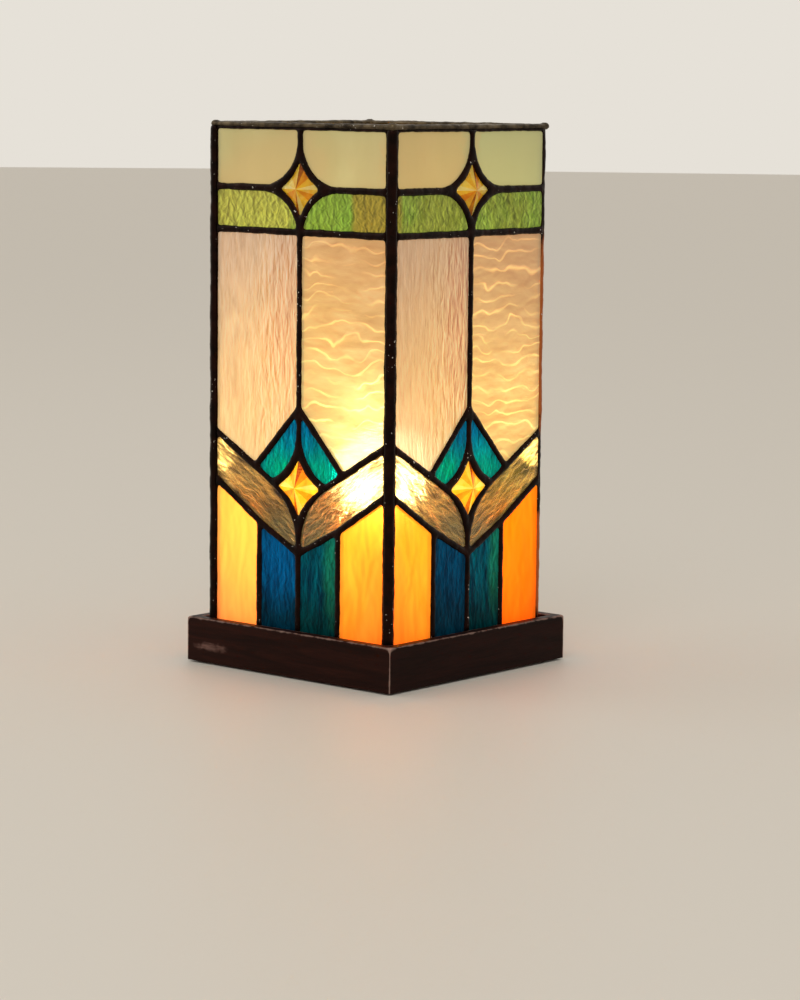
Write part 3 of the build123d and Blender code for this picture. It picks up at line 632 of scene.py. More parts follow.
def makeLattices(material):
    # the inner face of each CAD lattice, drawn out again to its full thickness
    for quarter, side in enumerate(sides):
        across, out = sideAxes(quarter)
        bm = mergedCopy(side + "_lattice")
        depths = [v.co.dot(out) for v in bm.verts]
        inner = min(depths)
        thick = max(depths) - inner
        away = [f for f in bm.faces if any(v.co.dot(out) > inner + meshSteps["flush"] for v in f.verts)]
        bmesh.ops.delete(bm, geom=away, context="FACES")
        trimBorders(bm, across)
        raised = bmesh.ops.extrude_face_region(bm, geom=bm.faces[:])["geom"]
        lifted = [g for g in raised if isinstance(g, bmesh.types.BMVert)]
        bmesh.ops.translate(bm, verts=lifted, vec=out * thick)
        bmesh.ops.recalc_face_normals(bm, faces=bm.faces)
        piece = newPiece(side + "Solder", bm)
        runSolder(piece, material, solder["swell"], quarter * solderSeeds["side"])
        seat(piece, "lamp", "solder", side + "_lattice")


def makeCorners(material):
    for count, (name, run) in enumerate(cornerSeams.items()):
        sideX, sideY = run["at"]
        bm = mergedCopy("corner_seams", lambda middle: middle.x * sideX > 0 and middle.y * sideY > 0)
        seam = newPiece(name, bm)
        seam.data.transform(Matrix.Translation(Vector((sideX, sideY, 0)) * -run["sink"]))
        runSolder(seam, material, run["swell"], solderSeeds["corner"] + count)
        seat(seam, "lamp", "solder", "corner_seams")


def makeRim(material):
    # the strips, with a drop of solder on each corner
    bm = mergedCopy("rim_strips")
    low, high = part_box("rim_strips")
    drop = solder["cornerDrop"]
    inset = solder["dropInset"]
    for x in (low.x, high.x):
        for y in (low.y, high.y):
            spot = Matrix.Translation((x * inset, y * inset, high.z - drop))
            bmesh.ops.create_icosphere(bm, subdivisions=3, radius=drop, matrix=spot)
    rim = newPiece("rimSolder", bm)
    runSolder(rim, material, solder["rimSwell"], solderSeeds["rim"])
    seat(rim, "lamp", "solder", "rim_strips")


patinaSolder = solderMaterial("patinaSolder", solder["bright"], solder["dull"], rubbed)
makeLattices(patinaSolder)
makeCorners(patinaSolder)
# the rim's solder is paler: worn patina, and partly a painted highlight for the light its top catches
makeRim(solderMaterial("wornSolder", solder["rimBright"], solder["rimDull"], []))
print("solder run")


def tonePatch(centre, reach, tone, share=1.0, core=0.8, ragged=0.7, fold=0.0):
    # a ragged patch of another colour in a pane
    return {"centre": centre, "reach": reach, "tone": tone, "share": share, "core": core, "ragged": ragged,
            "fold": fold}


def glowPatch(centre, reach, glow, core=0.8, ragged=0.7, fold=0.0):
    # a ragged patch of painted glow that the lamp lights in its own way
    return {"centre": centre, "reach": reach, "glow": glow, "share": 1.0, "core": core, "ragged": ragged,
            "fold": fold}


# sheet glass: pale and deep are its streaks, cloud its broad patches, near and far the painted glow of
# lamplight in it;
# a centre pane over leafAbove is a leaf
glassStock = {"voxel": 0.001, "bumpDepth": 0.001, "flow": (0, 1, 0), "long": 0.3, "size": 0.01, "wander": 0.7,
              "spacing": 0.006, "sway": 1.6, "line": 0.12, "lineShare": 0.0, "lineInside": 1.0,
              "lineGlow": (1, 1, 1, 1), "cloudy": 0.5, "cloudSize": 0.045, "cloudEdge": 0.12, "dents": 0.0,
              "dentSize": 0.0025, "dentLong": 0.3, "dentSpot": None, "bump": 0.4, "wave": 0.0004,
              "waveSize": 0.006, "ior": 1.3, "rough": 0.35, "start": 0.07, "end": 0.15, "patches": [],
              "sheetSeed": 5.3, "sideSeed": 2.1, "leafAbove": 0.085}
# the two lower centre panes are cut from much the same sheet
lowerStock = {"transmission": 0.4, "rough": 0.28, "end": 0.095, "size": 0.004, "long": 0.25, "spacing": 0.003,
              "lineShare": 0.5, "dents": 0.5, "dentSize": 0.003, "dentLong": 0.45, "bump": 0.5,
              "waveSize": 0.005, "ior": 1.1}
glassLooks = {
    "cream": {
        "pale": rgb(220, 212, 164), "deep": rgb(208, 200, 148), "cloud": rgb(216, 196, 146), "cloudy": 0.7,
        "transmission": 0.3, "rough": 0.5, "near": rgb(186, 158, 104), "far": rgb(84, 78, 48), "start": 0.1,
        "end": 0.2, "size": 0.03, "long": 0.5, "bump": 0.1, "wave": 0.00012, "waveSize": 0.012,
        "patches": [tonePatch((0.06, -0.036, 0.264), (0.012, 0.034, 0.034), rgb(226, 198, 140), 0.5),
                    tonePatch((0.06, 0.036, 0.264), (0.012, 0.034, 0.034), rgb(204, 212, 164), 0.7)]},
    "green": {
        "pale": rgb(166, 182, 94), "deep": rgb(112, 138, 50), "cloud": rgb(160, 136, 62), "cloudy": 0.35,
        "transmission": 0.45, "rough": 0.4, "near": rgb(162, 176, 80), "far": rgb(88, 98, 42), "start": 0.09,
        "end": 0.2, "size": 0.0045, "long": 0.6, "wander": 1.2, "bump": 0.6, "cloudSize": 0.03,
        "cloudEdge": 0.06, "dents": 0.55, "dentSize": 0.0034, "dentLong": 0.75, "waveSize": 0.005,
        "patches": [
            tonePatch((-0.034, -0.06, 0.238), (0.034, 0.012, 0.03), rgb(206, 192, 106), 0.7),
            tonePatch((0.019, -0.06, 0.238), (0.018, 0.012, 0.03), rgb(142, 178, 74), 0.6, ragged=0.3),
            tonePatch((0.049, -0.06, 0.238), (0.0155, 0.012, 0.03), rgb(170, 142, 62), 0.8, ragged=0.3)]},
    "ripple": {
        "pale": rgb(240, 226, 206), "deep": rgb(214, 196, 174), "cloud": rgb(232, 210, 184), "cloudy": 0.4,
        "transmission": 0.3, "rough": 0.36, "near": rgb(182, 148, 44), "far": rgb(106, 70, 6), "size": 0.0035,
        "long": 0.2, "wander": 1.0, "dents": 0.6, "dentSize": 0.0024, "dentLong": 0.2, "bump": 0.8,
        "dentSpot": {"centre": (0.002, 0.06, 0.16), "reach": (0.04, 0.03, 0.16), "core": 0.4, "calm": 0.3},
        "wave": 0.0005, "waveSize": 0.003,
        "patches": [tonePatch((-0.006, -0.06, 0.18), (0.026, 0.03, 0.07), rgb(214, 178, 164), 0.4, 0.2),
                    tonePatch((0.06, -0.03, 0.19), (0.03, 0.05, 0.09), rgb(204, 180, 152), 0.4, 0.4),
                    tonePatch((0.06, -0.004, 0.18), (0.03, 0.026, 0.07), rgb(206, 166, 156), 0.45, 0.2)]},
    "wave": {
        "pale": rgb(236, 218, 176), "deep": rgb(214, 188, 142), "cloud": rgb(218, 189, 137), "cloudy": 0.5,
        "transmission": 0.4, "rough": 0.28, "near": rgb(170, 154, 94), "far": rgb(118, 80, 32),
        "flow": (1, 0, 0), "size": 0.008, "spacing": 0.0068, "sway": 3.0, "line": 0.14, "lineShare": 1.0,
        "lineInside": 0.3, "lineGlow": (2.2, 2.2, 2.0, 1), "dents": 0.12, "dentSize": 0.006, "bump": 0.5,
        "wave": 0.0005, "waveSize": 0.008,
        "patches": [glowPatch((0.05, -0.06, 0.124), (0.046, 0.04, 0.05), (0.94, 1.0, 0.5, 1), 0.0, 0.2),
                    tonePatch((0.06, 0.03, 0.21), (0.03, 0.05, 0.07), rgb(206, 184, 156), 0.6, 0.4)]},
    "leaf": {
        "pale": rgb(0, 190, 196), "deep": rgb(0, 122, 138), "cloud": rgb(0, 152, 140), "cloudy": 0.4,
        "transmission": 0.5, "rough": 0.28, "near": rgb(0, 98, 106), "far": rgb(0, 70, 88), "end": 0.1,
        "size": 0.005, "spacing": 0.0035, "lineShare": 0.3, "dents": 0.55, "dentSize": 0.0028,
        "dentLong": 0.5, "bump": 0.5, "ior": 1.1,
        "patches": [
            tonePatch((0.014, 0.06, 0.105), (0.02, 0.03, 0.014), rgb(0, 196, 140), 0.6, 0.2, fold=1.0),
            tonePatch((0.003, 0.06, 0.131), (0.016, 0.03, 0.02), rgb(0, 112, 168), 0.75, 0.2, fold=1.0)]},
    "blue": {
        **lowerStock, "pale": rgb(0, 76, 104), "deep": rgb(0, 44, 66), "cloud": rgb(0, 54, 78),
        "near": rgb(0, 160, 176), "far": rgb(0, 8, 12),
        "patches": [glowPatch((-0.015, -0.06, 0.06), (0.03, 0.03, 0.032), (0, 1.1, 1.5, 1), 0.1, 0.3)]},
    "teal": {
        **lowerStock, "pale": rgb(0, 84, 92), "deep": rgb(0, 36, 54), "cloud": rgb(0, 72, 66),
        "near": rgb(0, 190, 200), "far": rgb(0, 6, 9),
        "patches": [
            tonePatch((0.0235, 0.06, 0.055), (0.009, 0.03, 0.034), rgb(34, 122, 84), 0.6, 0.3, fold=1.0)]},
    "band": {
        "pale": rgb(234, 208, 150), "deep": rgb(52, 40, 24), "cloud": rgb(130, 100, 56), "cloudy": 0.3,
        "transmission": 0.9, "rough": 0.2, "near": rgb(120, 100, 48), "far": rgb(74, 54, 18), "end": 0.1,
        "flow": (0.857, 0.515, 0), "long": 0.22, "size": 0.0055, "wander": 1.0, "spacing": 0.0042,
        "sway": 2.4, "lineShare": 0.9, "dents": 0.6, "dentSize": 0.0026, "dentLong": 0.4, "bump": 0.9,
        "wave": 0.0007, "ior": 1.4,
        "patches": [
            tonePatch((0.008, 0.06, 0.072), (0.018, 0.03, 0.018), rgb(158, 152, 128), 0.7, 0.4, fold=1.0),
            tonePatch((0.06, 0.034, 0.092), (0.012, 0.03, 0.03), rgb(176, 168, 52), 0.45, 0.3),
            tonePatch((0.014, -0.06, 0.077), (0.016, 0.012, 0.02), rgb(146, 152, 126), 0.6, 0.3),
            glowPatch((0.06, -0.06, 0.112), (0.05, 0.05, 0.046), (1.05, 0.82, 0.28, 1), 0.3),
            glowPatch((0.06, 0.06, 0.121), (0.021, 0.02, 0.021), (2.1, 1.75, 1.0, 1), fold=1.0)]},
    "orange": {
        "pale": rgb(255, 196, 88), "deep": rgb(250, 160, 48), "cloud": rgb(255, 176, 50), "cloudy": 0.6,
        "transmission": 0.45, "rough": 0.7, "near": rgb(255, 206, 60), "far": rgb(200, 96, 14), "start": 0.06,
        "end": 0.12, "size": 0.02, "dents": 0.12, "dentSize": 0.008, "bump": 0.2, "wave": 0.00015,
        "waveSize": 0.014, "ior": 1.12,
        "patches": [tonePatch((-0.043, -0.06, 0.06), (0.03, 0.012, 0.06), rgb(255, 204, 132), 0.9),
                    tonePatch((0.06, 0.043, 0.05), (0.012, 0.03, 0.06), rgb(240, 134, 0), 0.8)]},
}


def glassMaterial(name, look, seed):
    material, tree, sockets = finishMaterial(name + "Glass")
    sheet = place(tree, streakGroup, Flow=look["flow"], Stretch=look["long"], Size=look["size"],
                  Wander=look["wander"], Spacing=look["spacing"], Sway=look["sway"], Line=look["line"],
                  CloudSize=look["cloudSize"], CloudEdge=look["cloudEdge"], DentSize=look["dentSize"],
                  DentStretch=look["dentLong"], Seed=seed)
    tone = mixColour(tree, sheet["Mask"], look["pale"], look["deep"])
    tone = mixColour(tree, times(tree, sheet["Cloud"], look["cloudy"]), tone, look["cloud"])
    glow = place(tree, glowGroup, Near=look["near"], Far=look["far"], Start=look["start"], End=look["end"])
    glow = glow["Color"]
    for patch in look["patches"]:
        mask = place(tree, patchGroup, Centre=patch["centre"], Reach=patch["reach"], Ragged=patch["ragged"],
                     Core=patch["core"], Fold=patch["fold"], Seed=seed)
        share = times(tree, mask["Mask"], patch["share"])
        if "tone" in patch:
            tone = mixColour(tree, share, tone, patch["tone"])
        else:
            glow = mixColour(tree, share, glow, patch["glow"])
    dents = look["dents"]
    if look["dentSpot"]:
        spot = look["dentSpot"]
        mask = place(tree, patchGroup, Centre=spot["centre"], Reach=spot["reach"], Core=spot["core"],
                     Fold=1.0, Seed=seed)
        dents = remap(tree, mask["Mask"], 0.0, 1.0, dents * spot["calm"], dents)
    # painted light and shade of the dents laid over the tone
    tone = mixColour(tree, dents, tone, sheet["Relief"], "OVERLAY")
    # painted highlight: the lines glow with the lamp more than they tint the glass
    lines = times(tree, sheet["Lines"], look["lineShare"])
    faint = times(tree, lines, look["lineInside"])
    lit = mixColour(tree, lines, tone, look["pale"], "SCREEN")
    glow = mixColour(tree, lines, glow, look["lineGlow"], "MULTIPLY")
    setInputs(tree, sockets, Base_Color=mixColour(tree, faint, tone, look["pale"], "SCREEN"),
              Emission_Color=mixColour(tree, 1.0, glow, lit, "MULTIPLY"), Emission_Strength=1.0,
              Roughness=look["rough"], Transmission_Weight=look["transmission"], IOR=look["ior"])
    setBump(tree, sockets, sheet["Height"], look["bump"], look["bumpDepth"])
    material.cycles.emission_sampling = "NONE"
    return material


def paneCuts(across):
    # which CAD solids go into which sheet of glass
    isLeft = lambda middle: middle.dot(across) < 0
    isLeaf = lambda middle: middle.z > glassStock["leafAbove"]
    return [
        ("cream", "cream_panes", "cream_glass", None),
        ("green", "green_panes", "green_glass", None),
        ("ripple", "tall_panes", "ripple_glass", isLeft),
        ("wave", "tall_panes", "ripple_glass", lambda middle: not isLeft(middle)),
        ("leaf", "blue_panes", "blue_glass", isLeaf),
        ("blue", "blue_panes", "blue_glass", lambda middle: not isLeaf(middle) and isLeft(middle)),
        ("teal", "blue_panes", "blue_glass", lambda middle: not isLeaf(middle) and not isLeft(middle)),
        ("band", "band_panes", "clear_glass", None),
        ("orange", "orange_panes", "orange_glass", None),
    ]


def makeGlass():
    made = {}
    for quarter, side in enumerate(sides):
        for kind, node, slot, keep in paneCuts(sideAxes(quarter)[0]):
            look = {**glassStock, **glassLooks[kind]}
            if kind not in made:
                made[kind] = glassMaterial(kind, look, len(made) * look["sheetSeed"])
            piece = newPiece(side + kind.capitalize() + "Glass", mergedCopy(side + "_" + node, keep))
            voxels(piece, look["voxel"])
            runTree(piece, rippleTree, Flow=look["flow"], Stretch=look["long"], WaveSize=look["waveSize"],
                    WaveDepth=look["wave"], Wander=look["wander"], Seed=quarter * look["sideSeed"],
                    Material=made[kind])
            seat(piece, "lamp", slot, side + "_" + node)


makeGlass()
print("glass set")

# pressed star jewels: every facet of the crown has a tone of its own, a painted highlight or painted shade by
# the way it faces, 0 flashing to 1 brown, counted from the right tip; near and far are their painted glow
# from the lamp
jewel = {"paintedFlash": rgb(255, 240, 160), "pale": rgb(255, 216, 64), "deep": rgb(232, 142, 12),
         "brown": rgb(140, 64, 8), "near": rgb(255, 200, 54), "far": rgb(84, 74, 2),
         "facets": (0.1, 0.45, 0.7, 1.0, 0.3, 0.5, 0.25, 0.05, 0.4, 0.65, 0.5, 0.9, 0.15, 0.35, 0.6, 0.3),
         "start": 0.07, "end": 0.15, "strength": 0.8, "uneven": 0.5, "unevenSize": 0.004, "rough": 0.08,
         "transmission": 0.55, "ior": 1.3, "bump": 0.4, "bumpDepth": 0.001}


def jewelMaterial():
    material, tree, sockets = finishMaterial("jewelGlass")
    facet = addNode(tree, "ShaderNodeAttribute", {"attribute_name": "facet"}).outputs["Fac"]
    uneven = noiseNode(tree, objectPoint(tree), jewel["unevenSize"], 2.0, 0.6)
    level = plus(tree, facet, times(tree, minus(tree, uneven, 0.5), jewel["uneven"]))
    tone = mixColour(tree, remap(tree, level, 0.05, 0.35), jewel["paintedFlash"], jewel["pale"])
    tone = mixColour(tree, remap(tree, level, 0.35, 0.7), tone, jewel["deep"])
    tone = mixColour(tree, remap(tree, level, 0.75, 1.0), tone, jewel["brown"])
    glow = place(tree, glowGroup, Near=jewel["near"], Far=jewel["far"], Start=jewel["start"],
                 End=jewel["end"])
    setInputs(tree, sockets, Base_Color=tone,
              Emission_Color=mixColour(tree, 1.0, glow["Color"], tone, "MULTIPLY"),
              Emission_Strength=jewel["strength"], Roughness=jewel["rough"],
              Transmission_Weight=jewel["transmission"], IOR=jewel["ior"])
    setBump(tree, sockets, uneven, jewel["bump"], jewel["bumpDepth"])
    material.cycles.emission_sampling = "NONE"
    return material


def makeJewels(material):
    tones = jewel["facets"]
    for quarter, side in enumerate(sides):
        across = sideAxes(quarter)[0]
        bm = mergedCopy(side + "_star_jewels")
        layer = bm.faces.layers.float.new("facet")
        for island in islands(bm):
            heights = [v.co.z for v in island]
            middle = Vector((0, 0, (min(heights) + max(heights)) / 2))
            for face in {f for v in island for f in v.link_faces}:
                toward = face.calc_center_median() - middle
                turn = math.atan2(toward.z, toward.dot(across)) / math.tau % 1
                face[layer] = tones[int(turn * len(tones)) % len(tones)]
                face.smooth = False
        piece = newPiece(side + "Jewels", bm)
        piece.data.materials.append(material)
        seat(piece, "lamp", "amber_glass", side + "_star_jewels")


makeJewels(jewelMaterial())
print("jewels set")

# lamp globe, turned smooth and lit
globe = {"radius": 0.0225, "neck": 0.007, "neckBend": 0.02, "wall": 0.0008, "capTop": 0.0634, "turns": 64,
         "neckSteps": 12, "steps": 40, "crease": 50, "frost": rgb(250, 246, 238), "fleck": rgb(255, 253, 248),
         "frostSize": 0.0012, "warm": rgb(255, 245, 224), "dim": rgb(214, 160, 92), "fullBelow": 0.004,
         "strength": 8.5, "transmission": 0.25, "bump": 0.15, "bumpDepth": 0.0003}


def globeProfile(shrink):
    # up the neck, round its bend and over the ball; shrink gives the inner wall
    radius = globe["radius"] - shrink
    bend = globe["neckBend"] + shrink
    bendX = globe["neck"] + globe["neckBend"]
    bendZ = bulbCentre[2] - math.sqrt((globe["radius"] + globe["neckBend"]) ** 2 - bendX ** 2)
    join = math.atan2(bulbCentre[2] - bendZ, bendX)
    points = [(globe["neck"] - shrink, globe["capTop"])]
    for step in range(globe["neckSteps"]):
        turn = math.pi - join * step / globe["neckSteps"]
        points.append((bendX + bend * math.cos(turn), bendZ + bend * math.sin(turn)))
    for step in range(globe["steps"]):
        turn = -join + (math.pi / 2 + join) * step / globe["steps"]
        points.append((radius * math.cos(turn), bulbCentre[2] + radius * math.sin(turn)))
    return points + [(0.0, bulbCentre[2] + radius)]


def latheMesh(bm, profile, turns):
    # spins a profile round the lamp's axis; a point on the axis becomes a pole
    rings = []
    for radius, height in profile:
        count = turns if radius > meshSteps["tiny"] else 1
        angles = [a * math.tau / turns for a in range(count)]
        rings.append([bm.verts.new((radius * math.cos(a), radius * math.sin(a), height)) for a in angles])
    for lower, upper in zip(rings, rings[1:]):
        for a in range(turns):
            b = (a + 1) % turns
            corners = [lower[a % len(lower)], lower[b % len(lower)]]
            corners += [upper[b % len(upper)], upper[a % len(upper)]]
            kept = list(dict.fromkeys(corners))
            if len(kept) > 2:
                bm.faces.new(kept)


def globeMaterial():
    material, tree, sockets = finishMaterial("frostedGlobe")
    height = splitXyz(tree, objectPoint(tree))["Z"]
    frost = place(tree, speckleGroup, Tone=globe["frost"], Fleck=globe["fleck"], Size=globe["frostSize"],
                  Share=1.0)
    full = bulbCentre[2] - globe["fullBelow"]
    share = remap(tree, height, globe["capTop"], full, 0, 1, "SMOOTHSTEP")
    setInputs(tree, sockets, Base_Color=frost["Color"], Roughness=frost["Rough"],
              Emission_Color=mixColour(tree, share, globe["dim"], globe["warm"]),
              Emission_Strength=globe["strength"], Transmission_Weight=globe["transmission"])
    setBump(tree, sockets, frost["Height"], globe["bump"], globe["bumpDepth"])
    return material


def makeGlobe():
    bm = bmesh.new()
    latheMesh(bm, globeProfile(0.0), globe["turns"])
    latheMesh(bm, globeProfile(globe["wall"]), globe["turns"])
    bmesh.ops.remove_doubles(bm, verts=bm.verts, dist=meshSteps["tiny"])
    openEdges = [e for e in bm.edges if e.is_boundary]
    bmesh.ops.bridge_loops(bm, edges=openEdges)
    bmesh.ops.recalc_face_normals(bm, faces=bm.faces)
    piece = newPiece("frostedGlobe", bm)
    piece.data.materials.append(globeMaterial())
    shadeByAngle(piece.data, globe["crease"])
    seat(piece, "bulb", "frosted_glass", "lamp_globe")


makeGlobe()
print("globe turned")

# tray rails of dark lacquered wood, pale along their edges: partly wear, partly a painted highlight where the
# edges catch the light
rails = {"bevel": 0.0004, "mitreBevel": 0.0018, "bevelSteps": 4, "sharpAngle": 40, "flatAngle": 0.01,
         "grainSize": 0.004, "bare": rgb(148, 122, 112), "wall": 0.0055, "wearAndHighlight": 0.0009, "wearAndHighlightRound": 0.0066,
         "specular": 0.06, "bump": 0.25, "bumpDepth": 0.0004, "scuffAt": (-0.0535, -0.07, 0.0092),
         "scuffReach": (0.0125, 0.01, 0.003), "scuff": rgb(118, 88, 80), "scuffRagged": 1.6, "scuffCore": 0.3,
         "scratchSize": 0.0012}
railSeeds = {"grain": 2.0, "wearAndHighlight": 5.0, "scuff": 4.0}
# the side pair of rails is toned darker than the front and back pair: painted shade for the sides that stand
# in less light; each pair has its grain running its own way
railGrainAndShade = {
    "frontBackRails": {"stretch": (0.08, 1, 1), "light": rgb(46, 19, 12), "dark": rgb(27, 10, 6),
                       "scuffed": True},
    "sideRails": {"stretch": (1, 0.08, 1), "light": rgb(36, 13, 8), "dark": rgb(21, 7, 4), "scuffed": False}}


def makeWearAndHighlight():
    # pale line along a square tray's edges, partly wear where hands and dusters rub and partly a painted
    # highlight: outer top edge, inner top edge, upright corners; Round is how far the line widens where two
    # edges meet
    tree, given, result = newGroup("edgeWear", "ShaderNodeTree", {
        "Half": 0.07, "Top": 0.024, "Wall": 0.0055, "Width": 0.0007, "Round": 0.008, "Seed": 0.0},
        {"Mask": "Float"})
    point = objectPoint(tree)
    spread = spreadOf(tree, point)
    fromX = minus(tree, given["Half"], spread["X"])
    fromY = minus(tree, given["Half"], spread["Y"])
    inward = mathNode(tree, "MINIMUM", fromX, fromY)
    down = minus(tree, given["Top"], spread["Z"])
    inside = mathNode(tree, "ABSOLUTE", minus(tree, inward, given["Wall"]))
    outerEdge = mathNode(tree, "MAXIMUM", down, inward)
    innerEdge = mathNode(tree, "MAXIMUM", down, inside)
    rim = mathNode(tree, "MINIMUM", outerEdge, innerEdge)
    upright = times(tree, mathNode(tree, "MAXIMUM", fromX, fromY), 1.5)
    nearest = addNode(tree, "ShaderNodeMath", {"operation": "SMOOTH_MIN"}, i0=rim, i1=upright,
                      i2=given["Round"])
    broken = noiseNode(tree, point, 0.004, 4.0, 0.5, given["Seed"])
    reach = times(tree, given["Width"], remap(tree, broken, 0.35, 0.7, 0.4, 1.6))
    share = mathNode(tree, "DIVIDE", nearest.outputs[0], reach)
    setInputs(tree, result, Mask=mathNode(tree, "SUBTRACT", 1.0, share, True))
    return tree


wearAndHighlightGroup = makeWearAndHighlight()


def railMaterial(name, grainAndShade):
    material, tree, sockets = finishMaterial(name)
    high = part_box("base_rails")[1]
    wood = place(tree, grainGroup, Stretch=grainAndShade["stretch"], Size=rails["grainSize"], Light=grainAndShade["light"],
                 Dark=grainAndShade["dark"], Seed=railSeeds["grain"])
    worn = place(tree, wearAndHighlightGroup, Half=high.x, Top=high.z, Wall=rails["wall"], Width=rails["wearAndHighlight"],
                 Round=rails["wearAndHighlightRound"], Seed=railSeeds["wearAndHighlight"])
    # pale edges: wear, and partly a painted highlight
    colour = mixColour(tree, worn["Mask"], wood["Color"], rails["bare"])
    if grainAndShade["scuffed"]:
        patch = place(tree, patchGroup, Centre=rails["scuffAt"], Reach=rails["scuffReach"],
                      Ragged=rails["scuffRagged"], Core=rails["scuffCore"], Seed=railSeeds["scuff"])
        streaked = vectorNode(tree, "MULTIPLY", objectPoint(tree), grainAndShade["stretch"])[0]
        scratch = noiseNode(tree, streaked, rails["scratchSize"], 3.0, 0.2)
        scratch = remap(tree, scratch, 0.36, 0.6, 0.3, 1.0)
        colour = mixColour(tree, times(tree, patch["Mask"], scratch), colour, rails["scuff"])
    setInputs(tree, sockets, Base_Color=colour, Roughness=wood["Rough"], Specular_IOR_Level=rails["specular"])
    setBump(tree, sockets, wood["Height"], rails["bump"], rails["bumpDepth"])
    return material


def roundOff(bm, edges, offset):
    made = bmesh.ops.bevel(bm, geom=edges, offset=offset, segments=rails["bevelSteps"], profile=0.5,
                           affect="EDGES", clamp_overlap=True)
    for face in made["faces"]:
        face.smooth = True


def easeEdges(bm):
    # rounds the edges that the CAD rails leave sharp and that show: the mitred ends, most at the top, and
    # the foot
    low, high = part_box("base_rails")
    flush = meshSteps["flush"]
    limit = math.radians(rails["sharpAngle"])
    isHigh = lambda v: v.co.z > high.z - rails["mitreBevel"]
    shows = lambda v: max(abs(v.co.x), abs(v.co.y)) > high.x - flush or isHigh(v)
    mitred = lambda v: abs(abs(v.co.x) - abs(v.co.y)) < flush
    sharp = lambda e: all(shows(v) for v in e.verts) and e.calc_face_angle(0) > limit
    bmesh.ops.dissolve_limit(bm, angle_limit=rails["flatAngle"], verts=bm.verts, edges=bm.edges)
    upper = [e for e in bm.edges if sharp(e) and all(mitred(v) and isHigh(v) for v in e.verts)]
    roundOff(bm, upper, rails["mitreBevel"])
    roundOff(bm, [e for e in bm.edges if sharp(e)], rails["bevel"])
    for vert in bm.verts:
        vert.co = [min(max(c, least), most) for c, least, most in zip(vert.co, low, high)]


def makeRails():
    picks = {"frontBackRails": lambda middle: abs(middle.y) > abs(middle.x),
             "sideRails": lambda middle: abs(middle.y) <= abs(middle.x)}
    for name, grainAndShade in railGrainAndShade.items():
        bm = mergedCopy("base_rails", picks[name])
        easeEdges(bm)
        piece = newPiece(name, bm)
        piece.data.materials.append(railMaterial(name, grainAndShade))
        seat(piece, "lamp", "lacquered_wood", "base_rails")


makeRails()
print("rails finished")


def woodFinish(light, dark, size, stretch, seed):
    values = {"Stretch": stretch, "Size": size, "Light": light, "Dark": dark, "Seed": seed}
    return {"group": grainGroup, "values": values, "metal": 0.0, "bump": 0.4, "extra": {}}


def fleckFinish(tone, fleck, size, share, bump, **extra):
    values = {"Tone": tone, "Fleck": fleck, "Size": size, "Share": share}
    return {"group": speckleGroup, "values": values, "metal": 0.0, "bump": bump, "extra": extra}


def metalFinish(bright, dull, size, polish, matt, bump, seed=0.0):
    values = {"Bright": bright, "Dull": dull, "Size": size, "Polish": polish, "Matt": matt, "Seed": seed}
    return {"group": tarnishGroup, "values": values, "metal": 1.0, "bump": bump, "extra": {}}


# finishes of the fittings, by the record's material slots
fittings = {
    "deck_wood": woodFinish(rgb(84, 56, 42), rgb(54, 34, 26), size=0.005, stretch=(0.1, 1, 1), seed=7.0),
    "plain_wood": woodFinish(rgb(204, 168, 120), rgb(164, 122, 78), size=0.004, stretch=(1, 1, 0.12),
                             seed=9.0),
    "hardboard": fleckFinish(rgb(104, 72, 46), rgb(142, 104, 70), size=0.0011, share=0.8, bump=0.35),
    "felt": fleckFinish(rgb(22, 36, 28), rgb(58, 78, 62), size=0.0007, share=0.9, bump=1.0, Sheen_Weight=0.6),
    "bushing_plastic": fleckFinish(rgb(24, 23, 22), rgb(40, 38, 36), size=0.0008, share=0.5, bump=0.15),
    "phenolic": fleckFinish(rgb(36, 24, 18), rgb(78, 50, 34), size=0.0012, share=0.7, bump=0.12),
    "black_glass": fleckFinish(rgb(14, 14, 16), rgb(30, 30, 34), size=0.0012, share=0.5, bump=0.1),
    "mount_glass": fleckFinish(rgb(226, 232, 228), rgb(244, 246, 244), size=0.002, share=0.6, bump=0.05,
                               Transmission_Weight=1.0),
    "zinc_steel": metalFinish(rgb(196, 198, 200), rgb(126, 124, 118), size=0.004, polish=0.28, matt=0.5,
                              bump=0.15),
    "brass": metalFinish(rgb(214, 174, 96), rgb(142, 106, 54), size=0.004, polish=0.25, matt=0.48, bump=0.15,
                         seed=3.0),
    "cap_brass": metalFinish(rgb(224, 194, 126), rgb(168, 132, 74), size=0.003, polish=0.2, matt=0.4,
                             bump=0.1, seed=8.0),
    "tinned_contact": metalFinish(rgb(206, 204, 198), rgb(140, 134, 122), size=0.003, polish=0.3, matt=0.55,
                                  bump=0.15),
    "lead_wire": metalFinish(rgb(190, 180, 164), rgb(140, 126, 106), size=0.002, polish=0.3, matt=0.5,
                             bump=0.1),
    "filament_metal": metalFinish(rgb(120, 116, 110), rgb(74, 70, 66), size=0.002, polish=0.35, matt=0.6,
                                  bump=0.1),
}
fittingBumpDepth = 0.0003


def fittingMaterial(slot, finish):
    material, tree, sockets = finishMaterial(slot)
    skin = place(tree, finish["group"], **finish["values"])
    setInputs(tree, sockets, Base_Color=skin["Color"], Roughness=skin["Rough"], Metallic=finish["metal"],
              **finish["extra"])
    setBump(tree, sockets, skin["Height"], finish["bump"], fittingBumpDepth)
    return material


def dressFittings():
    # every CAD node with one of these slots gets its finish
    made = {slot: fittingMaterial(slot, finish) for slot, finish in fittings.items()}
    for node, slot in slotOf.items():
        if slot in made:
            nodes[node].data.materials.clear()
            nodes[node].data.materials.append(made[slot])
    return made


finishes = dressFittings()
print("fittings dressed")

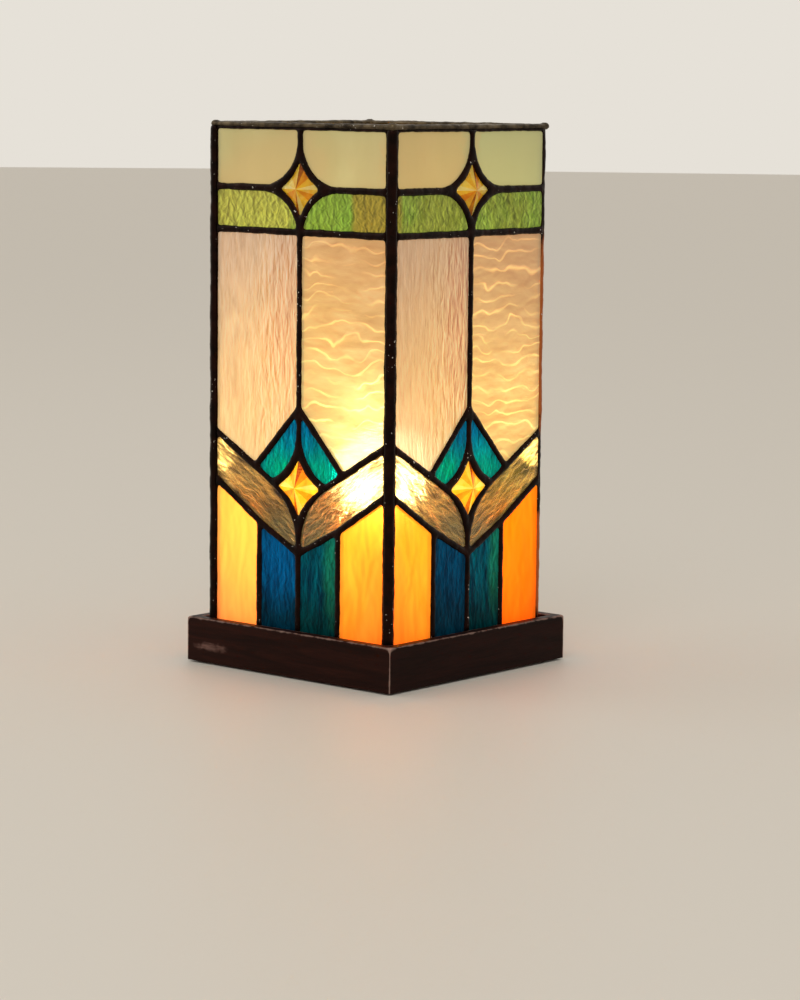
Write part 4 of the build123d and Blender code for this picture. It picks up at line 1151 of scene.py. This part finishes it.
# slotted pan-head screws of the shade tabs and the bracket; rise and reach are the head's height and radius
screws = {"shank": 0.00145, "slotWidth": 0.0008, "slotDepth": 0.0009, "dome": 0.55, "domeSteps": 8,
          "turns": 32}
screwSets = {
    "tabScrews": {"node": "tab_screws", "upright": True, "rise": 0.0019, "reach": 0.0027, "seed": 4},
    "strapScrews": {"node": "strap_screws", "upright": False, "rise": 0.002, "reach": 0.0028, "seed": 6}}


def makeScrewTree():
    # cuts the slot in one screw, then sets it on every point along its facing
    tree, given, result = newGroup("slottedScrews", "GeometryNodeTree", {
        "Geometry": "Geometry", "Screw": "Object", "HeadRise": 0.002, "SlotLength": 0.02, "SlotWidth": 0.0008,
        "SlotDepth": 0.0009, "Crease": 0.6, "Seed": 0, "Material": "Material"}, {"Geometry": "Geometry"})
    screw = addNode(tree, "GeometryNodeObjectInfo", None, Object=given["Screw"]).outputs["Geometry"]
    size = joinXyz(tree, X=given["SlotLength"], Y=given["SlotWidth"], Z=times(tree, given["SlotDepth"], 2.0))
    blade = addNode(tree, "GeometryNodeMeshCube", None, Size=size).outputs["Mesh"]
    lift = joinXyz(tree, Z=given["HeadRise"])
    blade = addNode(tree, "GeometryNodeTransform", None, Geometry=blade, Translation=lift).outputs[0]
    slotted = addNode(tree, "GeometryNodeMeshBoolean", {"operation": "DIFFERENCE"}, Mesh_1=screw,
                      Mesh_2=blade)
    facing = addNode(tree, "GeometryNodeInputNamedAttribute", {"data_type": "FLOAT_VECTOR"}, Name="facing")
    upright = addNode(tree, "FunctionNodeAlignRotationToVector", {"axis": "Z"}, Vector=facing.outputs[0])
    chance = addNode(tree, "FunctionNodeRandomValue", {"data_type": "FLOAT"}, Seed=given["Seed"])
    plug(tree, liveSocket(chance.inputs, "Max"), math.pi)
    turn = joinXyz(tree, Z=liveSocket(chance.outputs, "Value"))
    driven = addNode(tree, "FunctionNodeRotateRotation", {"rotation_space": "LOCAL"}, i0=upright.outputs[0],
                     i1=turn)
    standing = addNode(tree, "GeometryNodeInstanceOnPoints", None, Points=given["Geometry"],
                       Instance=slotted.outputs["Mesh"], Rotation=driven.outputs[0])
    endTree(tree, standing.outputs[0], given, result, given["Crease"])
    return tree


screwTree = makeScrewTree()


def solidBoxes(node):
    # lowest and highest corner of each solid in a CAD node
    bm = mergedCopy(node)
    for island in islands(bm):
        points = [v.co.copy() for v in island]
        yield tuple(Vector(pick(p[i] for p in points) for i in range(3)) for pick in (min, max))
    bm.free()


def screwBlank(name, length, rise, reach):
    # one screw without its slot, head seat at the origin
    edge = rise * (1 - screws["dome"])
    shank = screws["shank"]
    steps = screws["domeSteps"]
    angles = [a * math.pi / (2 * steps) for a in range(steps)]
    dome = [(reach * math.cos(a), edge + (rise - edge) * math.sin(a)) for a in angles]
    profile = [(0, -length), (shank, -length), (shank, 0), (reach, 0)] + dome + [(0, rise)]
    bm = bmesh.new()
    latheMesh(bm, profile, screws["turns"])
    bmesh.ops.remove_doubles(bm, verts=bm.verts, dist=meshSteps["tiny"])
    bmesh.ops.recalc_face_normals(bm, faces=bm.faces)
    return newPiece(name, bm)


def makeScrews(name, screwSet):
    node = screwSet["node"]
    rise = screwSet["rise"]
    bm = bmesh.new()
    facings = []
    for low, high in solidBoxes(node):
        middle = (low + high) / 2
        out = Vector((0, 0, 1)) if screwSet["upright"] else Vector((math.copysign(1, middle.x), 0, 0))
        whole = (high - low).dot(Vector(abs(c) for c in out))
        bm.verts.new(middle + out * (whole / 2) - out * rise)
        facings.append(out)
    points = newPiece(name, bm)
    layer = points.data.attributes.new("facing", "FLOAT_VECTOR", "POINT")
    layer.data.foreach_set("vector", [c for out in facings for c in out])
    blank = screwBlank(name + "Blank", whole - rise, rise, screwSet["reach"])
    runTree(points, screwTree, Screw=blank, HeadRise=rise, SlotWidth=screws["slotWidth"],
            SlotDepth=screws["slotDepth"], Seed=screwSet["seed"], Material=finishes[slotOf[node]])
    bpy.data.objects.remove(blank)
    seat(points, "lamp", slotOf[node], node)


for name, screwSet in screwSets.items():
    makeScrews(name, screwSet)
print("screws driven")

# the cap's rolled thread and the filament's coil
capThread = {"radius": 0.00588, "wire": 0.00032, "pitch": 0.00254, "turns": 4.0, "rise": 0.0016, "steps": 48}
coil = {"radius": 0.00042, "wire": 0.00012, "turns": 26.0, "steps": 14}


def makeHelixTree():
    # a round wire wound along Z from the origin, then turned and moved; Steps are for each turn
    tree, given, result = newGroup("woundWire", "GeometryNodeTree", {
        "Geometry": "Geometry", "Radius": 0.006, "Turns": 4.0, "Length": 0.01, "Wire": 0.0004,
        "WireSides": 10, "Steps": 40, "Crease": 0.9, "Turn": "Rotation", "Place": (0, 0, 0),
        "Material": "Material"}, {"Geometry": "Geometry"})
    wound = addNode(tree, "GeometryNodeCurveSpiral", None, Resolution=given["Steps"],
                    Rotations=given["Turns"], Start_Radius=given["Radius"], End_Radius=given["Radius"],
                    Height=given["Length"]).outputs[0]
    ring = addNode(tree, "GeometryNodeCurvePrimitiveCircle", None, Resolution=given["WireSides"],
                   Radius=given["Wire"]).outputs[0]
    wire = addNode(tree, "GeometryNodeCurveToMesh", None, Curve=wound, Profile_Curve=ring, Fill_Caps=True)
    put = addNode(tree, "GeometryNodeTransform", None, Geometry=wire.outputs[0], Translation=given["Place"],
                  Rotation=given["Turn"]).outputs[0]
    endTree(tree, put, given, result, given["Crease"])
    return tree


helixTree = makeHelixTree()


def makeCoils():
    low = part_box("lamp_cap")[0]
    thread = newPiece("capThread", bmesh.new())
    runTree(thread, helixTree, Radius=capThread["radius"], Turns=capThread["turns"], Wire=capThread["wire"],
            Length=capThread["pitch"] * capThread["turns"], Steps=capThread["steps"],
            Place=(0, 0, low.z + capThread["rise"]), Material=finishes["cap_brass"])
    seat(thread, "bulb", "cap_brass")
    low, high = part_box("filament")
    wire = newPiece("filamentCoil", bmesh.new())
    runTree(wire, helixTree, Radius=coil["radius"], Turns=coil["turns"], Wire=coil["wire"],
            Length=high.x - low.x, Steps=coil["steps"], Turn=(0, math.radians(90), 0),
            Place=(low.x, 0, (low.z + high.z) / 2), Material=finishes["filament_metal"])
    seat(wire, "bulb", "filament_metal", "filament")


makeCoils()
print("threads and filament wound")
